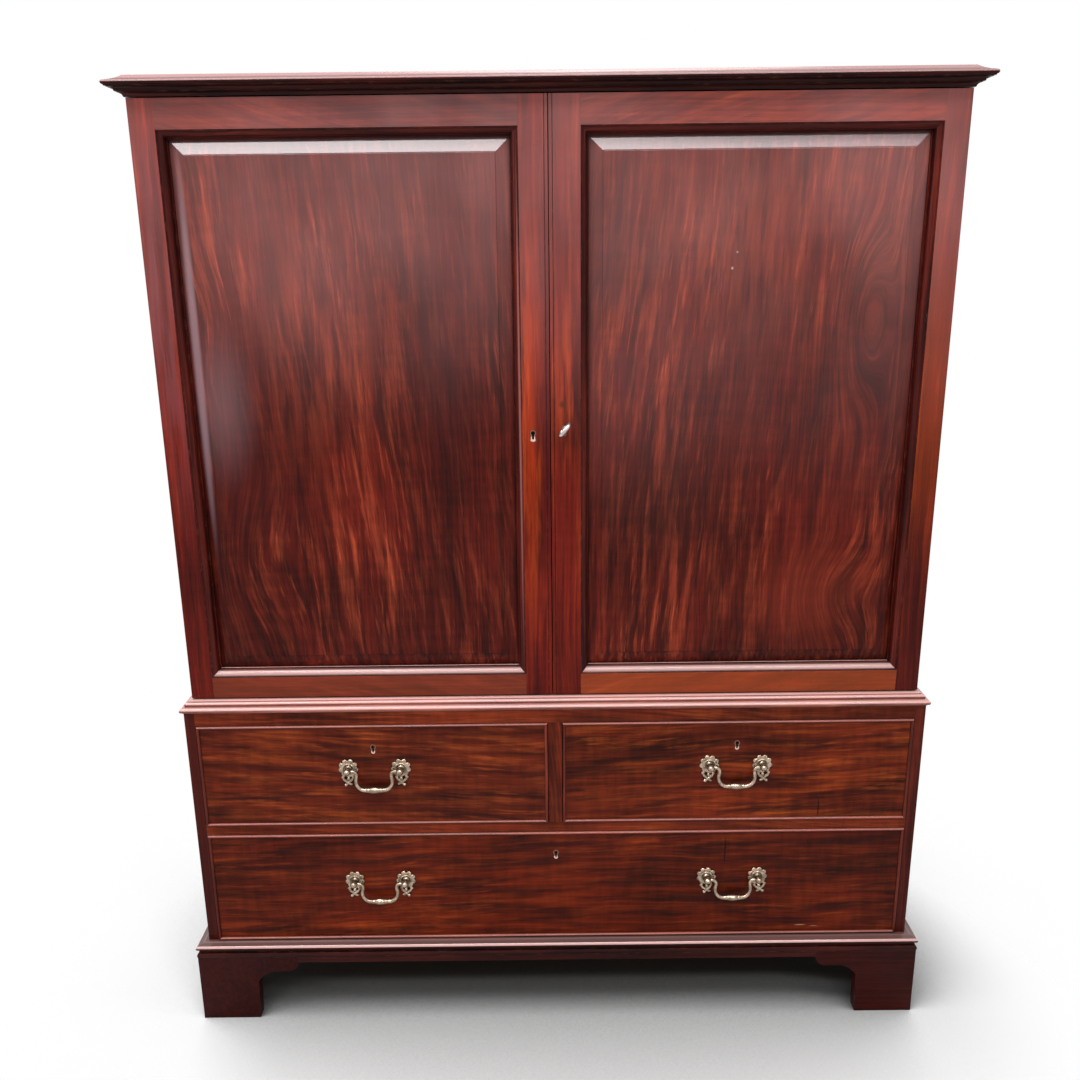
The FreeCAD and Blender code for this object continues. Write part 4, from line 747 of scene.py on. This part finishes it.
def metal(name, looks):
    material, tree, shader, spot = newMaterial(name)
    wearAndShade = useGroup(tree, wearAndShadeGroup, Radius=looks["arris"], Breakup=looks["breakup"])
    cloudy = spread(cloud(spot, looks["tarnish"], 4.0, 0.6), *looks["tarnishEnds"])
    color = blend(cloudy, tint(looks["dull"]), tint(looks["bright"]))
    color = blend(wearAndShade["Edge"], color, tint(looks["wornAndHighlight"]))
    color = blend(times(wearAndShade["GrimeAndShade"], looks["grimeAndShade"]), color, tint(looks["dirt"]))
    if "shadeTint" in looks:  # painted shade on all that doesn't face up, and a painted highlight at the foot of each keyhole
        color = blend(wearAndShade["Upward"], tint(looks["shadeTint"]), color)
        footHighlights = [patch(*foot, looks["wornAndHighlight"], looks["footHighlightAmount"], looks["footHighlightSoft"])
                  for foot in looks["footHighlights"]]
        color = addMarks(tree, spot, color, footHighlights)
    shader.inputs["Metallic"].default_value = 1.0
    rough = calc("MULTIPLY_ADD", cloudy, -looks["roughRange"],
                 looks["rough"] + looks["roughRange"] / 2)
    rough = calc("MULTIPLY_ADD", wearAndShade["GrimeAndShade"], looks["grimeRough"], rough)
    pits = cloud(spot, looks["pitting"], 3.0, 0.6)
    finishShader(tree, shader, looks, color, rough, pits, wearAndShade["Normal"])
    return material


metals = {
    "brassWorn": dict(
        dull=(137, 120, 103), bright=(188, 166, 146), wornAndHighlight=(230, 208, 188),
        dirt=(52, 50, 34), grimeAndShade=0.9, rough=0.30, arris=0.0006,
        nodes=["drawer_left_plates", "drawer_right_plates", "drawer_long_plates", "bail_left",
                  "bail_right", "bail_long_left", "bail_long_right"]),
    "brassThread": dict(
        dull=(176, 140, 122), bright=(226, 196, 180), wornAndHighlight=(236, 214, 200),
        dirt=(30, 20, 14), grimeAndShade=0.9, rough=0.34, arris=0.0004,
        # painted shade and highlight: all that doesn't face up takes the darker shade tint, and the
        # foot of each keyhole a bright painted highlight
        shadeTint=(128, 92, 78),
        footHighlights=[(drawerFace, (-0.316, 0.5305), (0.0052, 0.0042)),
                   (drawerFace, (0.316, 0.5305), (0.0052, 0.0042)),
                   (drawerFace, (0.0, 0.3195), (0.0052, 0.0042)),
                   (doorFace, (-0.0311, 1.0735), (0.0065, 0.0065))],
        nodes=["door_left_escutcheon", "door_right_lock", "drawer_left_lock",
                  "drawer_right_lock", "drawer_long_lock"]),
    "brassHinge": dict(
        dull=(120, 92, 48), bright=(160, 128, 74), wornAndHighlight=(190, 160, 104), dirt=(44, 30, 16),
        grimeAndShade=0.7, rough=0.42, arris=0.0005,
        nodes=["case_hinges", "door_left_hinges", "door_right_hinges", "door_left_bolt_plates"]),
    "ironBolt": dict(
        dull=(84, 80, 76), bright=(128, 124, 118), wornAndHighlight=(168, 164, 158),
        dirt=(52, 34, 22), grimeAndShade=0.7, rough=0.45, arris=0.0005,
        nodes=["bolt_upper", "bolt_lower", "door_lock_bolt", "drawer_left_lock_bolt",
                  "drawer_right_lock_bolt", "drawer_long_lock_bolt"]),
    "steelKey": dict(
        dull=(170, 156, 152), bright=(214, 198, 196), wornAndHighlight=(244, 232, 232), dirt=(70, 56, 50),
        grimeAndShade=0.6, rough=0.26, arris=0.0005, nodes=["door_key"]),
}
for name, looks in metals.items():
    finish = metal(name, {**bareMetal, **looks})
    for node in looks["nodes"]:
        dress(node, finish)
print("inside timber and metals dressed")


# small helpers for modelling

def clearPicks():
    bpy.ops.object.select_all(action="DESELECT")


def settle():
    bpy.ops.object.transform_apply(location=True, rotation=True, scale=True)


def pickOnly(piece):
    clearPicks()
    piece.select_set(True)
    bpy.context.view_layer.objects.active = piece


def startEdit(piece):
    pickOnly(piece)
    bpy.ops.object.mode_set(mode="EDIT")
    bpy.ops.mesh.select_all(action="SELECT")


def pickFaces(piece, test):
    # selects the faces whose middle and normal pass the test, in edit mode
    bpy.ops.mesh.select_all(action="DESELECT")
    bpy.ops.object.mode_set(mode="OBJECT")
    for face in piece.data.polygons:
        face.select = test(face.center, face.normal)
    bpy.ops.object.mode_set(mode="EDIT")


mergeWithin = 0.00001


def endEdit():
    bpy.ops.mesh.select_all(action="SELECT")
    bpy.ops.mesh.remove_doubles(threshold=mergeWithin)
    bpy.ops.mesh.normals_make_consistent(inside=False)
    bpy.ops.object.mode_set(mode="OBJECT")
    settle()


def addRod(sides, radius, depth, middle, turn):
    clearPicks()
    bpy.ops.mesh.primitive_cylinder_add(vertices=sides, radius=radius, depth=depth, location=middle,
                                        rotation=turn)
    return bpy.context.object


def addCircle(sides, radius, middle, turn):
    clearPicks()
    bpy.ops.mesh.primitive_circle_add(vertices=sides, radius=radius, fill_type="NGON",
                                      location=middle, rotation=turn)
    settle()
    return bpy.context.object


def addBall(radius, middle, turn=(0, 0, 0), sides=16, rings=10):
    bpy.ops.mesh.primitive_uv_sphere_add(segments=sides, ring_count=rings, radius=radius,
                                         location=middle, rotation=turn)
    return bpy.context.object


def sweepTube(name, stations, sides):
    # a round bar drawn through (x, y, z, radius) stations in a plane square to Y, in millimetres
    stations = [(Vector(station[:3]) / 1000, station[3] / 1000) for station in stations]
    here, size = stations[0]
    facing = (stations[1][0] - here).normalized()
    piece = addCircle(sides, size, here, facing.to_track_quat("Z", "Y").to_euler())
    piece.name = name
    startEdit(piece)
    for index in range(1, len(stations)):
        there, wanted = stations[index]
        run = (stations[min(index + 1, len(stations) - 1)][0] - here).normalized()
        bpy.ops.mesh.extrude_region_move(TRANSFORM_OT_translate={"value": there - here})
        bpy.ops.transform.resize(value=(wanted / size,) * 3, center_override=there)
        angle = math.asin(max(-1.0, min(1.0, facing.cross(run).y)))
        if abs(angle) > 0.00001:
            bpy.ops.transform.rotate(value=-angle, orient_axis="Y", center_override=there)
        here, size, facing = there, wanted, run
    endEdit()
    return piece


def joinPieces(name, pieces):
    clearPicks()
    for piece in pieces:
        piece.select_set(True)
    bpy.context.view_layer.objects.active = pieces[0]
    bpy.ops.object.join()
    piece = bpy.context.object
    piece.name = name
    settle()
    return piece


def meltTogether(piece, voxel, share):
    # melts joined pieces into one casting and keeps a share of its faces
    remesh = piece.modifiers.new("melt", "REMESH")
    remesh.mode = "VOXEL"
    remesh.voxel_size = voxel
    soften = piece.modifiers.new("soften", "SMOOTH")
    soften.factor = 0.5
    soften.iterations = 3
    fewer = piece.modifiers.new("fewer", "DECIMATE")
    fewer.ratio = share
    bpy.context.view_layer.objects.active = piece
    for modifier in list(piece.modifiers):
        bpy.ops.object.modifier_apply(modifier=modifier.name)


def finishPiece(piece, metalName, smoothTo=50):
    # clears what was joined in, gives the piece its metal and smooths all but its sharp edges
    piece.data.materials.clear()
    piece.data.materials.append(bpy.data.materials[metalName])
    pickOnly(piece)
    bpy.ops.object.shade_smooth_by_angle(angle=math.radians(smoothTo))


# drawer handles: lobed plates with posts and nuts, and swan-neck bails between them
# straps, beads, profiles and bails are in millimetres, the rest in metres

quarter = math.radians(90)
plate = dict(
    sides=72, disc=0.0150, thick=0.0022, lobes=9, lobeRing=0.0127,
    lobeSize=(0.0047, 0.0030, 0.0052), lobeForward=0.0009, creaseHalf=0.0016,
    creaseFrom=0.0105, creaseDeep=0.0009, beadPress=0.0004, strapSides=12,
    voxel=0.0004, share=0.35,
    rings=[(0.0046, 0.0), (0.0008, 0.0016), (0.0010, 0.0), (0.0010, -0.0022), (0.0014, 0.0004)],
    outerStrap=[(-8, -1.2, -12, 2.6), (-10.8, -1.6, -16.4, 2.8), (-8.6, -1.8, -20.6, 2.7),
                   (-4.6, -2.0, -24.0, 2.6), (-0.8, -1.8, -27.4, 2.5), (3.0, -1.6, -30.0, 2.4),
                   (5.4, -1.4, -30.6, 1.5)],
    innerStrap=[(6.0, -1.2, -13, 2.4), (7.2, -1.6, -17.4, 2.6), (4.6, -2.0, -21.4, 2.5),
                   (0.4, -2.6, -24.6, 2.4), (-3.2, -2.4, -28.0, 2.2), (-6.2, -1.8, -31.0, 2.0)],
    beads=[(-6.4, -1.9, -30.9, 3.0), (-11.4, -1.9, -16.0, 2.4), (7.6, -1.9, -16.6, 2.2),
              (-0.6, -2.2, -19.2, 3.2)],
)


def makePlate():
    # its back lies at y 0, its face looks to -Y and its scroll ends to the -X side
    disc = addRod(plate["sides"], plate["disc"], plate["thick"], (0, -plate["thick"] / 2, 0),
                  (quarter, 0, 0))
    settle()
    startEdit(disc)
    pickFaces(disc, lambda centre, normal: normal.y < -0.9)
    for thickness, depth in plate["rings"]:
        bpy.ops.mesh.inset(thickness=thickness, depth=depth)
    endEdit()
    made = [disc]
    for index in range(plate["lobes"]):
        angle = 2 * math.pi * (index + 0.5) / plate["lobes"]
        outward = Vector((math.sin(angle), 0, math.cos(angle)))
        sideways = Vector((math.cos(angle), 0, -math.sin(angle)))
        ring = plate["lobeRing"]
        lobe = addBall(1.0, (ring * math.sin(angle), -plate["lobeForward"], ring * math.cos(angle)),
                       (0, angle, 0))
        lobe.scale = plate["lobeSize"]
        settle()
        startEdit(lobe)  # a crease down the middle of the lobe
        pickFaces(lobe, lambda centre, normal: normal.y < -0.55
                  and abs(centre.dot(sideways)) < plate["creaseHalf"]
                  and centre.dot(outward) > plate["creaseFrom"])
        bpy.ops.transform.translate(value=(0, plate["creaseDeep"], 0))
        endEdit()
        made.append(lobe)
    for strap in ("outerStrap", "innerStrap"):
        made.append(sweepTube(strap, plate[strap], plate["strapSides"]))
    for x, y, z, radius in plate["beads"]:
        bead = addBall(radius / 1000, (x / 1000, y / 1000, z / 1000))
        settle()
        startEdit(bead)
        pickFaces(bead, lambda centre, normal: normal.y < -0.6)
        bpy.ops.transform.translate(value=(0, plate["beadPress"], 0))
        endEdit()
        made.append(bead)
    piece = joinPieces("plateMaster", made)
    meltTogether(piece, plate["voxel"], plate["share"])
    startEdit(piece)  # the back is pressed flat where it meets the drawer
    bpy.ops.mesh.select_all(action="DESELECT")
    bpy.ops.mesh.select_mode(type="VERT")
    bpy.ops.object.mode_set(mode="OBJECT")
    for vertex in piece.data.vertices:
        vertex.select = vertex.co.y > 0
    bpy.ops.object.mode_set(mode="EDIT")
    bpy.ops.transform.resize(value=(1, 0, 1), center_override=(0, 0, 0))
    bpy.ops.mesh.select_mode(type="FACE")
    endEdit()
    return piece


post = dict(
    sides=28, pinSides=20, pin=0.0023, pinAt=-0.0130, pinFrom=0.0012,
    pinTo=0.0080,
    profile=[(20.2, 3.0), (0.0, 3.0), (0.0, 6.6), (-2.2, 6.5), (-3.2, 5.2), (-5.0, 4.0),
                (-7.2, 3.6), (-9.4, 3.9), (-10.8, 4.6), (-12.2, 5.3), (-13.8, 5.8), (-15.4, 6.0),
                (-17.2, 5.8), (-18.8, 5.1), (-20.2, 4.0), (-21.2, 2.6), (-21.8, 1.0)],
)


def makePost():
    # turned boss with a shank through the drawer front; y 0 is the drawer's face
    start, radius = post["profile"][0]
    piece = addCircle(post["sides"], radius / 1000, (0, start / 1000, 0), (quarter, 0, 0))
    startEdit(piece)
    for y, wanted in post["profile"][1:]:
        step = (0, (y - start) / 1000, 0)
        bpy.ops.mesh.extrude_region_move(TRANSFORM_OT_translate={"value": step})
        bpy.ops.transform.resize(value=(wanted / radius, 1, wanted / radius),
                                 center_override=(0, y / 1000, 0))
        start, radius = y, wanted
    endEdit()
    middle = (post["pinFrom"] + post["pinTo"]) / 2
    drill = addRod(post["pinSides"], post["pin"], post["pinTo"] - post["pinFrom"],
                   (middle, post["pinAt"], 0), (0, quarter, 0))
    cut = piece.modifiers.new("pinHole", "BOOLEAN")
    cut.operation = "DIFFERENCE"
    cut.object = drill
    bpy.context.view_layer.objects.active = piece
    bpy.ops.object.modifier_apply(modifier=cut.name)
    bpy.data.objects.remove(drill)
    return piece


nut = dict(sides=24, reach=0.0070, thick=0.0040, bore=0.0031, crown=0.93,
           behind=0.0200)  # behind: the thickness of a drawer front


def makeNut():
    # round nut on the shank, against the back of the drawer front
    middle = (0, nut["behind"] + nut["thick"] / 2, 0)
    piece = addRod(nut["sides"], nut["reach"], nut["thick"], middle, (quarter, 0, 0))
    settle()
    startEdit(piece)
    pickFaces(piece, lambda centre, normal: abs(normal.y) > 0.9)
    bpy.ops.mesh.inset(thickness=nut["reach"] - nut["bore"], use_individual=True)
    bpy.ops.mesh.bridge_edge_loops()
    pickFaces(piece, lambda centre, normal: normal.y > 0.9)
    bpy.ops.transform.resize(value=(nut["crown"], 1, nut["crown"]), center_override=(0, 0, 0))
    endEdit()
    return piece


bail = dict(
    sides=14, postAt=0.046, axisBelowTop=0.0034,
    half=[(-44.4, 0, 0, 2.0), (-39.9, 0, 0, 2.0), (-39.7, 0, 0, 3.3), (-36.4, 0, 0, 3.5),
             (-33.2, 0, -0.9, 3.5), (-30.8, 0, -3.4, 3.4), (-29.9, 0, -7.4, 3.3),
             (-30.8, 0, -12.6, 3.2), (-31.8, 0, -18.0, 3.2), (-31.2, 0, -23.6, 3.2),
             (-29.0, 0, -28.6, 3.3), (-25.4, 0, -32.8, 3.5), (-21.2, 0, -35.2, 3.8),
             (-17.0, 0, -36.0, 3.9), (-13.4, 0, -36.0, 3.7), (-12.9, 0, -36.0, 4.6),
             (-11.2, 0, -36.0, 4.6), (-10.7, 0, -36.0, 3.9), (-7.0, 0, -36.0, 5.2),
             (-3.6, 0, -36.0, 5.9), (0, 0, -36.0, 6.0)],
)


def makeBail():
    # hangs from two pins at x and z 0
    half = bail["half"]
    whole = half + [(-x, y, z, radius) for x, y, z, radius in reversed(half[:-1])]
    piece = sweepTube("bailMaster", whole, bail["sides"])
    rounder = piece.modifiers.new("rounder", "SUBSURF")
    rounder.levels = 1
    bpy.ops.object.modifier_apply(modifier=rounder.name)
    return piece


def placeCopy(master, name, move, mirrored=False, turn=0.0):
    # a copy with its own mesh, its place kept in the mesh
    piece = master.copy()
    piece.data = master.data.copy()
    piece.name = name
    scene.collection.objects.link(piece)
    shape = Matrix.Translation(move) @ Matrix.Rotation(math.radians(turn), 4, "Y")
    if mirrored:
        shape = shape @ Matrix.Scale(-1, 4, (1, 0, 0))
    piece.data.transform(shape)
    if mirrored:
        piece.data.flip_normals()
    return piece


plateMaster, postMaster, bailMaster, nutMaster = makePlate(), makePost(), makeBail(), makeNut()
# each bail's drawer, and how far its left and right plates have slipped round, in degrees
handles = {"bail_left": ("drawer_left", (-2.0, 3.0)), "bail_right": ("drawer_right", (1.5, -2.5)),
           "bail_long_left": ("drawer_long", (0.5, 4.0)),
           "bail_long_right": ("drawer_long", (-6.0, -7.0))}
plates = {}
for node, (drawer, turns) in handles.items():
    low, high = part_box(node)
    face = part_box(drawer + "_front")[0].y
    middle, axis = (low.x + high.x) / 2, high.z - bail["axisBelowTop"]
    where = Vector((middle, (low.y + high.y) / 2, axis))
    bailPiece = placeCopy(bailMaster, node + "_shaped", where)
    finishPiece(bailPiece, "brassWorn")
    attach(bailPiece, node)
    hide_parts(node)
    for side, turn in zip((-1, 1), turns):
        where = Vector((middle + side * bail["postAt"], face, axis))
        mirrored = side > 0
        plates.setdefault(drawer, []).extend([
            placeCopy(plateMaster, "plate", where, mirrored, turn),
            placeCopy(postMaster, "post", where, mirrored), placeCopy(nutMaster, "nut", where)])
for drawer, pieces in plates.items():
    joinedPlates = joinPieces(drawer + "_plates_shaped", pieces)
    startEdit(joinedPlates)
    endEdit()
    finishPiece(joinedPlates, "brassWorn")
    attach(joinedPlates, drawer)
    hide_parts(drawer + "_plates")
for master in (plateMaster, postMaster, nutMaster, bailMaster):
    bpy.data.objects.remove(master)
print("handles made:", len(handles))

# key of the right door: an oval bow with swollen ends, a collar, a shank and a flag

keyCast = dict(bowLong=0.0220, ring=0.0118, bar=0.0033, squash=0.72, endKnob=0.0038,
               frontKnob=0.0046, collar=0.0042, collarLong=0.0034, collarSunk=0.0010, shank=0.0024,
               shankSunk=0.0020, flag=(0.0024, 0.0060, 0.0090), turn=40.0, voxel=0.00045, share=0.4)


def makeKey(low, high):
    # built with its bow upright, then turned as it stands in its lock
    look = keyCast
    x, z = (low.x + high.x) / 2, (low.z + high.z) / 2
    middle, foot = low.y + look["bowLong"] / 2, low.y + look["bowLong"]
    clearPicks()
    bpy.ops.mesh.primitive_torus_add(major_radius=look["ring"], minor_radius=look["bar"],
                                     major_segments=48, minor_segments=16, location=(x, middle, z),
                                     rotation=(0, quarter, 0))
    bow = bpy.context.object
    settle()
    startEdit(bow)
    bpy.ops.transform.resize(value=(1, look["squash"], 1), center_override=(x, middle, z))
    endEdit()
    made = [bow]
    for y, up, radius in ((middle, look["ring"], look["endKnob"]),
                          (middle, -look["ring"], look["endKnob"]),
                          (low.y + look["frontKnob"], 0.0, look["frontKnob"])):
        made.append(addBall(radius, (x, y, z + up), sides=20, rings=12))
    for radius, start, end in (
            (look["collar"], foot - look["collarSunk"], foot + look["collarLong"]),
            (look["shank"], foot - look["shankSunk"], high.y)):
        made.append(addRod(32, radius, end - start, (x, (start + end) / 2, z), (quarter, 0, 0)))
    wide, deep, tall = look["flag"]
    bpy.ops.mesh.primitive_cube_add(size=1.0, location=(x, high.y - deep / 2, z - tall / 2),
                                    scale=(wide, deep, tall))
    made.append(bpy.context.object)
    piece = joinPieces("door_key_shaped", made)
    meltTogether(piece, look["voxel"], look["share"])
    startEdit(piece)
    bpy.ops.transform.rotate(value=-math.radians(look["turn"]), orient_axis="Y",
                             center_override=(x, middle, z))
    endEdit()
    return piece


keyPiece = makeKey(*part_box("door_key"))
finishPiece(keyPiece, "steelKey")
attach(keyPiece, "door_key")
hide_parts("door_key")
print("key made")
